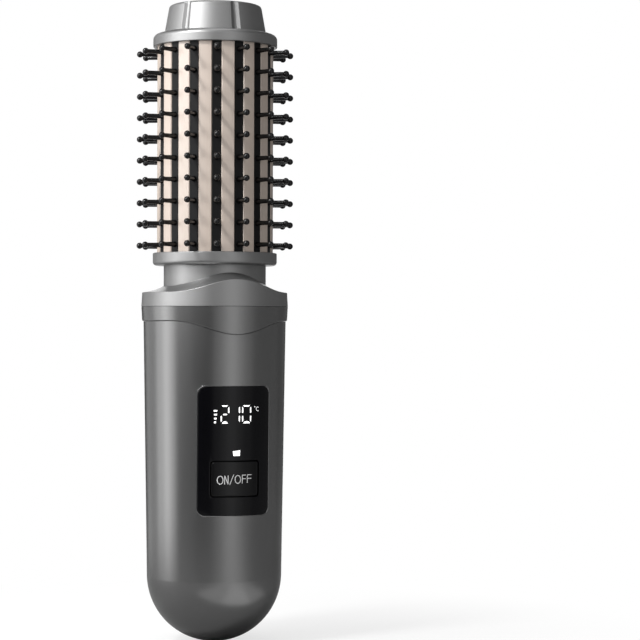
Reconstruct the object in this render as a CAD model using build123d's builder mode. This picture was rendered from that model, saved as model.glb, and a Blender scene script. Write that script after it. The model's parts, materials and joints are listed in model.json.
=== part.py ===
from build123d import *
from math import cos, pi, sin, sqrt
import os

# Cordless round brush styler, as the separate pieces that it comes apart into.
# It stands along +Z with its round-bottomed handle down. The origin is at the lowest point of the
# handle, on the long axis, and the display faces -Y. All sizes are in millimetres.
# Distances named "depth" below are measured from the long axis towards the display (along -Y).

os.makedirs("parts", exist_ok=True)

# ---------------------------------------------------------------- driving dimensions: head
cap_height = 9.55
cap_top_radius = 15.1
cap_base_radius = 16.8
cap_edge_round = 1.0
cap_wall = 2.0
cap_groove_count = 6
cap_groove_width = 3.0
cap_groove_depth = 0.8
groove_floor = 0.25          # groove's floor and mouth, as parts of its width
groove_mouth = 1.75
groove_flares = (1.12, 0.94)  # widening at the foot of the cap and narrowing at its top
top_ring_height = 4.15
lower_ring_height = 4.1
top_ring_round = 1.7
lower_ring_round = 1.2
ring_edge_break = 0.3
ring_proud = 1.3             # rings past the barrel's plates
ring_recess = 2.0            # how deep the barrel's ends and insulators sit in the rings
insulator_thickness = 0.8
snap_wall = 1.4              # wall of the cap's spigot
snap_room = 0.7              # between the spigot and the screw heads beside it
bead_radius = 0.35           # snap beads of the cap and the collar
barrel_radius = 19.1
barrel_wall = 1.7            # under the bristle channels
strip_count = 16
head_turn = 6.0              # first bristle row and cap groove, in degrees past the display
strip_width = 2.9
strip_flare = 0.65           # how much the dovetail root spreads on each side
strip_depth = 2.2
strip_recess = 0.25          # strip face below the plates between the strips
channel_bevel = 0.35
pins_per_strip = 10
pin_pitch = 6.99
pin_margin_low = 2.4         # lowest pin above the lower ring
pin_margin_top = 2.39        # highest pin below the top ring
pin_length = 6.9             # from the strip's face to the tip
pin_base_radius = 0.85
pin_neck_radius = 0.7
pin_ball_radius = 1.05
pin_flat_radius = 0.5
neck_in_view = 2.55          # between the collar's crest and the lower ring
neck_wall = 1.8
neck_room = 0.3              # between the neck's bore and the screw heads in it
neck_web = 2.4

# ---------------------------------------------------------------- driving dimensions: heater
land_thickness = 1.8
heater_thickness = 3.0
heater_width = 13.0
heater_corner = 0.75
heater_inset = 10.0          # heater's lower end above the barrel's lower end
heater_end_room = 6.3        # heater's upper end below the barrel's upper end
spring_thickness = 0.3
spring_width = 10.0
spring_rise = 0.55           # bow of the leaf spring
spring_inset = 5.0
sensor_x = 5.0
thermistor_size = 2.2
thermistor_corner = 0.45
thermistor_length = 7.0
fuse_radius = 1.3
fuse_taper = 0.45
fuse_length = 11.0
port_inset = 2.3             # axes of the barrel's screw ports inside its bore
port_boss_radius = 2.7
port_turn = 90               # first screw port, in degrees from +X
lead_hole_radius = 9.4

# ---------------------------------------------------------------- driving dimensions: handle
handle_wall = 2.0
lap_depth = 1.0              # how much of the wall the collar's skirt takes at the lap joint
spigot_room = 0.7            # handle's spigot below the collar's roof
rib_stand = 0.15             # guide ribs past the handle's wall
guide_rib_width = 1.6
guide_rib_count = 4
guide_rib_turn = 45
collar_proud = 0.7           # collar's widest line past the handle
collar_lean = 0.12           # how much the collar draws in above and below its widest line
lower_band = 4.65            # flat part of the collar's lower edge up to its widest line
upper_band = 4.6             # from there up to the low part of its outer top edge
collar_dip = 4.4             # wave of the lower edge, front and back
collar_rise = 3.95           # wave of the upper edge, front and back
collar_neck_rise = 4.5       # wave where the shoulder meets the neck
wave_reach = 0.81            # half width of the wave, as a part of the collar's radius
shoulder_rise = 1.8
shoulder_slope = 0.35        # straight share of the concave shoulder
collar_roof = 2.2            # least wall over the collar's inside

# ---------------------------------------------------------------- driving dimensions: control panel
lens_side = 3.5              # lens past each side of the display
lens_corner = 2.5
lens_thickness = 1.2
lens_bevel = 0.25            # broken edge of the handle round the lens
display_margin = 2.8         # lens past the top of the display
display_rise = 5.4           # display above the lit mark
mark_rise = 1.8              # lit mark above the button
button_margin = 6.1          # lens past the bottom of the button
button_width = 15.9
button_height = 11.2
button_corner = 1.0
button_gap = 0.25
button_travel = 0.6
button_lip = 0.8
flange_thickness = 1.2
post_radius = 1.8
switch_size = 6.0
switch_height = 3.6
plunger_radius = 1.7
plunger_reach = 1.35
plunger_root = 1.2
bore_gap = 0.1
display_width = 17.0
display_height = 12.0
display_depth = 5.0
display_bevel = 0.4
window_margin = 1.2          # frame that the handle's wall leaves in front of the display
window_corner = 1.0
mark_x = 1.3
guide_width = 3.0
guide_height = 2.0
guide_gap = 0.2              # round the light guide in its window
status_led_depth = 1.2

# ---------------------------------------------------------------- driving dimensions: circuit board
board_thickness = 1.6
board_corner = 1.5
board_standoff = 2.4
standoff_radius = 2.0
board_drop = 7.15            # board's top edge below the chassis's top plate
board_screw_side = 2.3       # screws from the board's sides, and from its top and bottom
board_screw_inset = 4.5
solder_inset = 4.0           # ends of the wires from the board's top and bottom edges
chip_size = 7.0
chip_depth = 1.2
chip_inset = 4.9             # chip below the board's top edge
chip_gap = 2.8               # chip above the display
transistor_width = 6.6
transistor_height = 6.0
transistor_depth = 2.3
transistor_drop = 12.5       # transistor below the middle of the button
transistor_inset = 3.0       # transistor above the board's bottom edge

# ---------------------------------------------------------------- driving dimensions: chassis and cells
spine_thickness = 1.6
spine_room = 0.9             # spine's edges inside the guide ribs
chassis_rise = 0.4           # chassis above the widest level of the dome
bottom_plate = 2.0
top_plate = 2.5
plate_gap = 0.4
lead_room = 12.25            # for the wires, between the cells and the top plate
lead_window_side = 0.45      # window for the wires past the outer ones
cradle_count = 3
cradle_thickness = 2.0
cradle_inset = 6.1           # outer cradles from the ends of the cells
cradle_stand = 2.4           # from the spine to the nearest side of the cells
cell_radius = 9.2
cell_length = 65.0
cell_edge = 0.5
cell_spacing = 0.3
cell_y = 4.6                 # axes of the cells behind the handle's own
cell_room = 0.48             # between the cells and the handle's wall
nub_radius = 3.0
nub_height = 1.0
tab_thickness = 0.3
tab_width = 8.0
pad_width = 8.0
pad_inset = 7.5              # foam pad from the ends of the cells
neck_flange = 2.5
flange_screw_offset = 0.5    # axes of the flange screws outside the neck
flange_screw_count = 3
flange_screw_turn = 30
flange_screw_grip = 4.3
flange_boss_radius = 2.1
flange_boss_height = 3.6
flange_boss_cap = 0.9        # closed end of a flange boss
flange_rim = 0.2             # flange past its bosses
flange_room = 1.8            # between the flange and the handle's wall
boss_room = 0.5              # flange bosses below the collar's roof

# ---------------------------------------------------------------- driving dimensions: charging socket
port_width = 8.94
port_height = 3.26
port_gap = 0.15
port_recess = 0.6
usb_board_base = 9.0
usb_board_thickness = 1.2
usb_board_width = 12.0
usb_board_length = 17.0
usb_board_corner = 1.0
usb_boss_radius = 2.0
usb_screw_inset = 2.5
usb_screw_grip = 4.5
socket_wall = 0.4
socket_tongue = 0.7
tongue_width = 6.3
socket_depth = 5.9

# ---------------------------------------------------------------- driving dimensions: screws and wires
screw_radius = 1.0
screw_head_radius = 1.8
screw_head_height = 1.0
screw_gap = 0.05
clearance_hole = 1.15
screw_grip = 7.0
power_wire = 0.8
sensor_wire = 0.5
wire_bend = 3.0
wire_sides = 6
heater_lead_x = 2.4
battery_lead_inset = 3.0     # battery leads in front of the cells' axes
charge_lead_x = 3.2
charge_lead_rise = 5.0
charge_lead_drop = 1.0
slide_gap = 0.08
fit_gap = 0.1
parting_gap = 0.25
seat_gap = 0.05
overcut = 1.0                # how far a cut runs past what it cuts

# ------------------------------------------------ worked out: head, from the axis outwards
strip_face = barrel_radius - strip_recess
strip_root_width = strip_width + 2 * strip_flare
pin_tip_radius = strip_face + pin_length
channel_floor = barrel_radius - strip_depth
barrel_bore = channel_floor - barrel_wall
ring_radius = barrel_radius + ring_proud
port_radius = barrel_bore - port_inset
neck_bore = port_radius + screw_head_radius + neck_room
neck_radius = neck_bore + neck_wall
first_row = head_turn - 90
heater_gap = heater_thickness + spring_rise + spring_thickness + 3 * seat_gap
land_outside = heater_gap / 2 + land_thickness
sensor_y = land_outside + seat_gap + thermistor_size / 2

# ------------------------------------------------ worked out: depths from the cells to the switch
cell_x = cell_radius + cell_spacing / 2
spine_back = cell_radius + cradle_stand - cell_y
spine_front = spine_back + spine_thickness
board_back = spine_front + board_standoff
board_front = board_back + board_thickness
switch_front = board_front + switch_height
plunger_tip = switch_front + plunger_reach
wire_depth = (board_back + spine_front) / 2

# ------------------------------------------------ worked out: radii of the handle and the collar
dome_radius = sqrt(cell_x**2 + cell_y**2) + cell_radius + cell_room + handle_wall
guide_rib_radius = dome_radius - handle_wall - rib_stand
flange_screw_radius = neck_radius + flange_screw_offset
flange_radius = flange_screw_radius + flange_boss_radius + flange_rim
handle_top_radius = flange_radius + flange_room + handle_wall
collar_radius = handle_top_radius + collar_proud
spigot_radius = handle_top_radius - lap_depth
collar_bore = spigot_radius + fit_gap
wave_half = wave_reach * collar_radius
beyond = 2 * collar_radius   # safely outside the handle

# ------------------------------------------------ worked out: heights, from the dome upwards
chassis_base = dome_radius + chassis_rise
plate_top = chassis_base + bottom_plate
cell_base = plate_top + tab_thickness + nub_height + fit_gap
cell_top = cell_base + cell_length
chassis_top = cell_top + lead_room
flange_base = chassis_top + top_plate
roof_underside = flange_base + neck_flange + flange_boss_height + boss_room
spigot_top = roof_underside - spigot_room
collar_edge = roof_underside + collar_roof
collar_crease = collar_edge - upper_band
collar_base = collar_crease - lower_band
collar_high = collar_edge + collar_neck_rise + shoulder_rise
lower_ring_base = collar_high + neck_in_view
lower_ring_top = lower_ring_base + lower_ring_height
lowest_pin = lower_ring_top + pin_margin_low
top_ring_base = lowest_pin + (pins_per_strip - 1) * pin_pitch + pin_margin_top
top_ring_top = top_ring_base + top_ring_height
total_height = top_ring_top + cap_height
barrel_bottom = lower_ring_top - ring_recess + insulator_thickness
barrel_top = top_ring_base + ring_recess - insulator_thickness
barrel_length = barrel_top - barrel_bottom
heater_base = barrel_bottom + heater_inset
heater_length = barrel_length - heater_inset - heater_end_room

# ------------------------------------------------ worked out: panel and board, from the top down
board_top = chassis_top - board_drop
chip_centre = board_top - chip_inset - chip_size / 2
display_top = chip_centre - chip_size / 2 - chip_gap
display_centre = display_top - display_height / 2
mark_centre = display_centre - display_height / 2 - display_rise - guide_height / 2
button_centre = mark_centre - guide_height / 2 - mark_rise - button_height / 2
lens_top = display_top + display_margin
lens_base = button_centre - button_height / 2 - button_margin
lens_height = lens_top - lens_base
lens_centre = (lens_top + lens_base) / 2
lens_width = display_width + 2 * lens_side
transistor_centre = button_centre - transistor_drop
board_base = transistor_centre - transistor_height / 2 - transistor_inset
battery_lead_x = cell_x - tab_width / 2 + 2 * power_wire
lead_window_x = battery_lead_x + power_wire + lead_window_side
board_screw_x = lead_window_x + standoff_radius
board_width = 2 * (board_screw_x + board_screw_side)
usb_screw_y = usb_board_length / 2 - usb_screw_inset
handle_slope = (handle_top_radius - dome_radius) / (collar_base - dome_radius)


def handle_radius(z):
    """Outer radius of the tapered handle at a height above the dome's equator."""
    return dome_radius + handle_slope * (z - dome_radius)


def wall_radius(z):
    """Inner radius of the handle's wall at a height."""
    return handle_radius(z) - handle_wall


# The button's flange lies behind the wall, and its post fills what is left to the switch
flange_top = handle_wall + button_gap
flange_back = handle_radius(button_centre) - flange_top - flange_thickness
post_length = flange_back - plunger_tip


def rounded_corner(radius, z, size, up):
    """Points round an outer corner of a turned outline, from its flat face to its side."""
    turns = [0, pi / 6, pi / 3, pi / 2]
    return [(radius - size + size * sin(turn), z + up * size * (1 - cos(turn))) for turn in turns]


def wave(x):
    """Height of the collar's wave at a distance sideways from the front or back, from 0 to 1."""
    return (1 + cos(pi * x / wave_half)) / 2 if abs(x) < wave_half else 0.0


def wave_edge(level, height):
    """Points along a wavy edge, from the left foot of the wave to the right one."""
    steps = 12
    places = [wave_half * (2 * step / steps - 1) for step in range(steps + 1)]
    return [(x, level + height * wave(x)) for x in places]


def wave_block(level, height, limit):
    """A block across the whole handle, between a wavy edge and a flat limit above or below it."""
    with BuildPart() as block:
        with BuildSketch(Plane.XZ.offset(-beyond)):
            with BuildLine():
                edge = Spline(*wave_edge(level, height), tangents=[(1, 0), (1, 0)])
                corners = [(beyond, level), (beyond, limit), (-beyond, limit), (-beyond, level)]
                Polyline(edge @ 1, *corners, edge @ 0)
            make_face()
        extrude(amount=2 * beyond)
    return block.part


def shoulder_height(x, y):
    """Height of the collar's concave, wavy shoulder over a point of the plan."""
    inward = (collar_radius**2 - x**2 - y**2) / (collar_radius**2 - neck_radius**2)
    concave = shoulder_slope * inward + (1 - shoulder_slope) * inward**2
    swell = collar_rise + (collar_neck_rise - collar_rise) * concave
    return collar_edge + shoulder_rise * concave + swell * wave(x)


def curved_slab(outer, inner, width, height, corner, centre, x=0.0):
    """A rounded rectangle of the handle's front wall, between two depths below its surface."""
    low = centre - height
    high = centre + height
    with BuildPart() as slab:
        with BuildSketch(Plane.XZ):
            Polygon(
                (handle_radius(low) - inner, low),
                (handle_radius(low) - outer, low),
                (handle_radius(high) - outer, high),
                (handle_radius(high) - inner, high),
                align=None,
            )
        revolve(axis=Axis.Z)
        with BuildSketch(Plane.XZ):
            with Locations((x, centre)):
                RectangleRounded(width, height, corner)
        extrude(amount=beyond, mode=Mode.INTERSECT)
    return slab.part


def on_lens_rim(edge):
    """Whether an edge of the handle lies on its outside, round the recess for the lens."""
    places = [edge @ share for share in (0, 0.5, 1)]
    outside = all(abs(sqrt(p.X**2 + p.Y**2) - handle_radius(p.Z)) < fit_gap / 2 for p in places)
    middle = places[1]
    across = abs(middle.X) <= lens_width / 2 + 2 * fit_gap and middle.Y < 0
    return outside and across and abs(middle.Z - lens_centre) <= lens_height / 2 + 2 * fit_gap


def row_plane(angle, z):
    """A level plane at a height, with its x axis turned to a polar angle."""
    return Plane.XY.offset(z).rotated((0, 0, angle))


# ================================================================ head: cap, rings and barrel
cap_base = top_ring_top
cap_roof = total_height - cap_wall
cap_taper = (cap_base_radius - cap_top_radius) / cap_height
cap_rim = cap_top_radius + cap_taper * cap_edge_round
groove_angles = [first_row + 360 / cap_groove_count * turn for turn in range(cap_groove_count)]
snap_radius = port_radius - screw_head_radius - snap_room
ring_ceiling = top_ring_base + ring_recess
bead_height = (ring_ceiling - barrel_top) / 2 - seat_gap

with BuildPart() as tip_cap:
    with BuildSketch(Plane.XZ):
        with BuildLine():
            Polyline(
                (0, total_height),
                *rounded_corner(cap_rim, total_height, cap_edge_round, -1),
                (cap_base_radius, cap_base),
                (cap_base_radius - cap_wall, cap_base),
                (cap_top_radius - cap_wall, cap_roof),
                (0, cap_roof),
                (0, total_height),
            )
        make_face()
    revolve(axis=Axis.Z)
    # Spigot that snaps through the top ring
    with BuildSketch(Plane.XZ):
        with BuildLine():
            Polyline(
                (snap_radius - snap_wall, cap_roof),
                (snap_radius, cap_roof),
                (snap_radius, ring_ceiling - seat_gap),
                (snap_radius + bead_radius, ring_ceiling - bead_height),
                (snap_radius, barrel_top + seat_gap),
                (snap_radius - snap_wall, barrel_top + seat_gap),
                close=True,
            )
        make_face()
    revolve(axis=Axis.Z)
    # Shallow flared grooves down the side
    for angle in groove_angles:
        ends = ((cap_base, cap_base_radius), (total_height, cap_top_radius))
        for (height, radius), flare in zip(ends, groove_flares):
            half = flare * cap_groove_width / 2
            with BuildSketch(row_plane(angle, height)):
                Polygon(
                    (radius - cap_groove_depth, -groove_floor * half),
                    (radius + cap_groove_depth, -groove_mouth * half),
                    (radius + cap_groove_depth, groove_mouth * half),
                    (radius - cap_groove_depth, groove_floor * half),
                    align=None,
                )
        loft(mode=Mode.SUBTRACT)
tip_cap.part.label = "tip_cap"
export_step(tip_cap.part, "parts/tip_cap.step")

with BuildPart() as top_ring:
    with BuildSketch(Plane.XZ):
        with BuildLine():
            Polyline(
                (0, top_ring_top),
                *rounded_corner(ring_radius, top_ring_top, top_ring_round, -1),
                (ring_radius, top_ring_base + ring_edge_break),
                (ring_radius - ring_edge_break, top_ring_base),
                (0, top_ring_base),
                close=True,
            )
        make_face()
    revolve(axis=Axis.Z)
    with BuildSketch(Plane.XY.offset(top_ring_base)):
        Circle(barrel_radius + fit_gap)
    extrude(amount=ring_recess, mode=Mode.SUBTRACT)
    with Locations((0, 0, top_ring_top)):
        Hole(snap_radius + fit_gap)
    with Locations((0, 0, top_ring_top)):
        with PolarLocations(port_radius, 2, start_angle=port_turn):
            CounterBoreHole(clearance_hole, screw_head_radius + fit_gap, screw_head_height)
top_ring.part.label = "top_ring"
export_step(top_ring.part, "parts/top_ring.step")

with BuildPart() as top_insulator:
    with BuildSketch(Plane.XY.offset(barrel_top)):
        Circle(barrel_radius)
        Circle(snap_radius + 2 * bead_radius, mode=Mode.SUBTRACT)
        with PolarLocations(port_radius, 2, start_angle=port_turn):
            Circle(clearance_hole, mode=Mode.SUBTRACT)
    extrude(amount=insulator_thickness)
top_insulator.part.label = "top_insulator"
export_step(top_insulator.part, "parts/top_insulator.step")

with BuildPart() as top_screws:
    with BuildSketch(Plane.XY.offset(top_ring_top - screw_head_height)):
        with PolarLocations(port_radius, 2, start_angle=port_turn):
            Circle(screw_head_radius)
    extrude(amount=screw_head_height)
    with BuildSketch(Plane.XY.offset(barrel_top - screw_grip)):
        with PolarLocations(port_radius, 2, start_angle=port_turn):
            Circle(screw_radius)
    extrude(amount=top_ring_top - screw_head_height - barrel_top + screw_grip)
top_screws.part.label = "top_screws"
export_step(top_screws.part, "parts/top_screws.step")

# Extruded aluminium barrel: dovetail channels for the bristle strips outside, two heater lands
# and two screw ports inside
with BuildPart() as heater_barrel:
    with BuildSketch(Plane.XY.offset(barrel_bottom)):
        Circle(barrel_radius)
        Circle(barrel_bore, mode=Mode.SUBTRACT)
        land_middle = (heater_gap + land_thickness) / 2
        with Locations((0, land_middle), (0, -land_middle)):
            Rectangle(2 * barrel_bore, land_thickness)
        with PolarLocations(port_radius, 2, start_angle=port_turn):
            Circle(port_boss_radius)
            Circle(screw_radius + screw_gap, mode=Mode.SUBTRACT)
        with PolarLocations(0, strip_count, start_angle=first_row):
            mouth = strip_width / 2 + slide_gap
            Polygon(
                (channel_floor, -strip_root_width / 2),
                (barrel_radius - channel_bevel, -mouth),
                (barrel_radius + channel_bevel, -mouth - 2 * channel_bevel),
                (barrel_radius + channel_bevel, mouth + 2 * channel_bevel),
                (barrel_radius - channel_bevel, mouth),
                (channel_floor, strip_root_width / 2),
                align=None,
                mode=Mode.SUBTRACT,
            )
    extrude(amount=barrel_length)
heater_barrel.part.label = "heater_barrel"
export_step(heater_barrel.part, "parts/heater_barrel.step")

# One ball-tipped pin, lying along +X: its outline, cut out three ways round the pin's own axis
pin_foot = strip_face - strip_recess
ball_middle = pin_tip_radius - pin_ball_radius
ball_foot = ball_middle - pin_ball_radius
with BuildPart() as pin_blank:
    for turn in range(3):
        side = Plane.XY.rotated((60 * turn, 0, 0))
        with BuildSketch(side):
            with BuildLine():
                outline = Polyline(
                    (pin_foot, 0),
                    (pin_foot, pin_base_radius),
                    (ball_foot, pin_neck_radius),
                    (ball_middle, pin_ball_radius),
                    (pin_tip_radius, pin_flat_radius),
                    (pin_tip_radius, 0),
                )
                mirror(outline, about=Plane.XZ)
            make_face()
        extrude(amount=beyond, both=True, mode=Mode.ADD if turn == 0 else Mode.INTERSECT)

# One bristle strip, lying along +X: a dovetail rail that carries a row of pins
with BuildPart() as strip_blank:
    with BuildSketch(Plane.XY.offset(barrel_bottom)):
        Polygon(
            (channel_floor + slide_gap, slide_gap - strip_root_width / 2),
            (strip_face, -strip_width / 2),
            (strip_face, strip_width / 2),
            (channel_floor + slide_gap, strip_root_width / 2 - slide_gap),
            align=None,
        )
    extrude(amount=barrel_length)
    for pin in range(pins_per_strip):
        with Locations((0, 0, lowest_pin + pin * pin_pitch)):
            add(pin_blank.part)

for row in range(strip_count):
    with BuildPart() as bristle_strip:
        add(strip_blank.part, rotation=(0, 0, first_row + 360 / strip_count * row))
    strip_name = f"bristle_strip_{row + 1:02d}"
    bristle_strip.part.label = strip_name
    export_step(bristle_strip.part, f"parts/{strip_name}.step")

with BuildPart() as lower_insulator:
    with BuildSketch(Plane.XY.offset(barrel_bottom - insulator_thickness)):
        Circle(barrel_radius)
        Circle(lead_hole_radius, mode=Mode.SUBTRACT)
        with PolarLocations(port_radius, 2, start_angle=port_turn):
            Circle(clearance_hole, mode=Mode.SUBTRACT)
    extrude(amount=insulator_thickness)
lower_insulator.part.label = "lower_insulator"
export_step(lower_insulator.part, "parts/lower_insulator.step")

with BuildPart() as lower_ring:
    with BuildSketch(Plane.XZ):
        with BuildLine():
            Polyline(
                (0, lower_ring_base),
                *rounded_corner(ring_radius, lower_ring_base, lower_ring_round, 1),
                (ring_radius, lower_ring_top - ring_edge_break),
                (ring_radius - ring_edge_break, lower_ring_top),
                (0, lower_ring_top),
                close=True,
            )
        make_face()
    revolve(axis=Axis.Z)
    with BuildSketch(Plane.XY.offset(lower_ring_top)):
        Circle(barrel_radius + fit_gap)
    extrude(amount=-ring_recess, mode=Mode.SUBTRACT)
    with Locations((0, 0, lower_ring_top)):
        Hole(lead_hole_radius)
        with PolarLocations(port_radius, 2, start_angle=port_turn):
            Hole(clearance_hole)
lower_ring.part.label = "lower_ring"
export_step(lower_ring.part, "parts/lower_ring.step")

web_underside = lower_ring_base - neck_web
with BuildPart() as neck_tube:
    with BuildSketch(Plane.XZ):
        with BuildLine():
            Polyline(
                (lead_hole_radius, web_underside),
                (neck_bore, web_underside),
                (neck_bore, flange_base),
                (flange_radius, flange_base),
                (flange_radius, flange_base + neck_flange),
                (neck_radius, flange_base + neck_flange),
                (neck_radius, lower_ring_base),
                (lead_hole_radius, lower_ring_base),
                close=True,
            )
        make_face()
    revolve(axis=Axis.Z)
    with Locations((0, 0, lower_ring_base)):
        with PolarLocations(port_radius, 2, start_angle=port_turn):
            Hole(clearance_hole, depth=2 * neck_web)
    # Screw bosses of the foot flange, hidden by the collar
    with BuildSketch(Plane.XY.offset(flange_base)):
        with PolarLocations(flange_screw_radius, flange_screw_count, start_angle=flange_screw_turn):
            Circle(flange_boss_radius)
    extrude(amount=neck_flange + flange_boss_height)
    with BuildSketch(Plane.XY.offset(flange_base)):
        with PolarLocations(flange_screw_radius, flange_screw_count, start_angle=flange_screw_turn):
            Circle(screw_radius + screw_gap)
    extrude(amount=neck_flange + flange_boss_height - flange_boss_cap, mode=Mode.SUBTRACT)
neck_tube.part.label = "neck_tube"
export_step(neck_tube.part, "parts/neck_tube.step")

with BuildPart() as neck_screws:
    with BuildSketch(Plane.XY.offset(web_underside - screw_head_height)):
        with PolarLocations(port_radius, 2, start_angle=port_turn):
            Circle(screw_head_radius)
    extrude(amount=screw_head_height)
    with BuildSketch(Plane.XY.offset(web_underside)):
        with PolarLocations(port_radius, 2, start_angle=port_turn):
            Circle(screw_radius)
    extrude(amount=barrel_bottom + screw_grip - web_underside)
neck_screws.part.label = "neck_screws"
export_step(neck_screws.part, "parts/neck_screws.step")

# ================================================================ heater inside the barrel
heater_side = -heater_gap / 2 + seat_gap
with BuildPart() as ptc_heater:
    with BuildSketch(Plane.XY.offset(heater_base)):
        with Locations((0, heater_side + heater_thickness / 2)):
            RectangleRounded(heater_width, heater_thickness, heater_corner)
    extrude(amount=heater_length)
ptc_heater.part.label = "ptc_heater"
export_step(ptc_heater.part, "parts/ptc_heater.step")

# Bowed leaf spring that presses the heater onto one land
spring_foot = heater_side + heater_thickness + seat_gap
spring_crown = heater_gap / 2 - seat_gap - spring_thickness
spring_end = spring_width / 2
with BuildPart() as heater_spring:
    with BuildSketch(Plane.XY.offset(heater_base + spring_inset)):
        with BuildLine():
            under = ThreePointArc((-spring_end, spring_foot), (0, spring_crown), (spring_end, spring_foot))
            over = ThreePointArc(
                (-spring_end, spring_foot + spring_thickness),
                (0, spring_crown + spring_thickness),
                (spring_end, spring_foot + spring_thickness),
            )
            Line(under @ 0, over @ 0)
            Line(under @ 1, over @ 1)
        make_face()
    extrude(amount=heater_length - 2 * spring_inset)
heater_spring.part.label = "heater_spring"
export_step(heater_spring.part, "parts/heater_spring.step")

with BuildPart() as thermistor:
    with BuildSketch(Plane.XY.offset(heater_base)):
        with Locations((sensor_x, sensor_y)):
            RectangleRounded(thermistor_size, thermistor_size, thermistor_corner)
    extrude(amount=thermistor_length)
thermistor.part.label = "thermistor"
export_step(thermistor.part, "parts/thermistor.step")

with BuildPart() as thermal_fuse:
    with BuildSketch(Plane.XY.offset(heater_base)):
        with Locations((-sensor_x, land_outside + seat_gap + fuse_radius)):
            Circle(fuse_radius)
    extrude(amount=fuse_length)
    chamfer(thermal_fuse.edges().group_by(Axis.Z)[-1], fuse_taper)
thermal_fuse.part.label = "thermal_fuse"
export_step(thermal_fuse.part, "parts/thermal_fuse.step")

# ================================================================ collar and handle
with BuildPart() as wave_collar:
    skirt_low = collar_base - collar_dip
    with BuildSketch(Plane.XZ):
        with BuildLine():
            Polyline(
                (collar_bore, skirt_low),
                (collar_radius - collar_lean, skirt_low),
                (collar_radius, collar_crease),
                (collar_radius - 2 * collar_lean, collar_high),
                (neck_radius + fit_gap, collar_high),
                (neck_radius + fit_gap, roof_underside),
                (collar_bore, roof_underside),
                close=True,
            )
        make_face()
    revolve(axis=Axis.Z)
    add(wave_block(collar_base, -collar_dip, 0), mode=Mode.SUBTRACT)
    # Concave shoulder that rises to the neck and swells over the front and the back
    reach = collar_radius + 2 * overcut
    steps = 26
    places = [reach * (2 * step / steps - 1) for step in range(steps + 1)]
    shoulder = Face.make_surface_from_array_of_points(
        [[(x, y, shoulder_height(x, y)) for x in places] for y in places],
        tol=0.01,
    )
    extrude(shoulder, amount=collar_radius, dir=(0, 0, 1), mode=Mode.SUBTRACT)
    # Snap bead inside the skirt
    with BuildSketch(Plane.XZ):
        Polygon(
            (collar_bore + bead_radius, collar_crease - bead_radius),
            (collar_bore - bead_radius, collar_crease),
            (collar_bore + bead_radius, collar_crease + bead_radius),
            align=None,
        )
    revolve(axis=Axis.Z)
wave_collar.part.label = "wave_collar"
export_step(wave_collar.part, "parts/wave_collar.step")

# Part of the handle's wall that makes room for the collar's wavy skirt
with BuildPart() as skirt_room:
    with BuildSketch(Plane.XY.offset(collar_base - collar_dip - overcut)):
        Circle(beyond)
        Circle(spigot_radius, mode=Mode.SUBTRACT)
    extrude(amount=beyond)
    add(wave_block(collar_base - parting_gap, -collar_dip, 0), mode=Mode.SUBTRACT)

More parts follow.
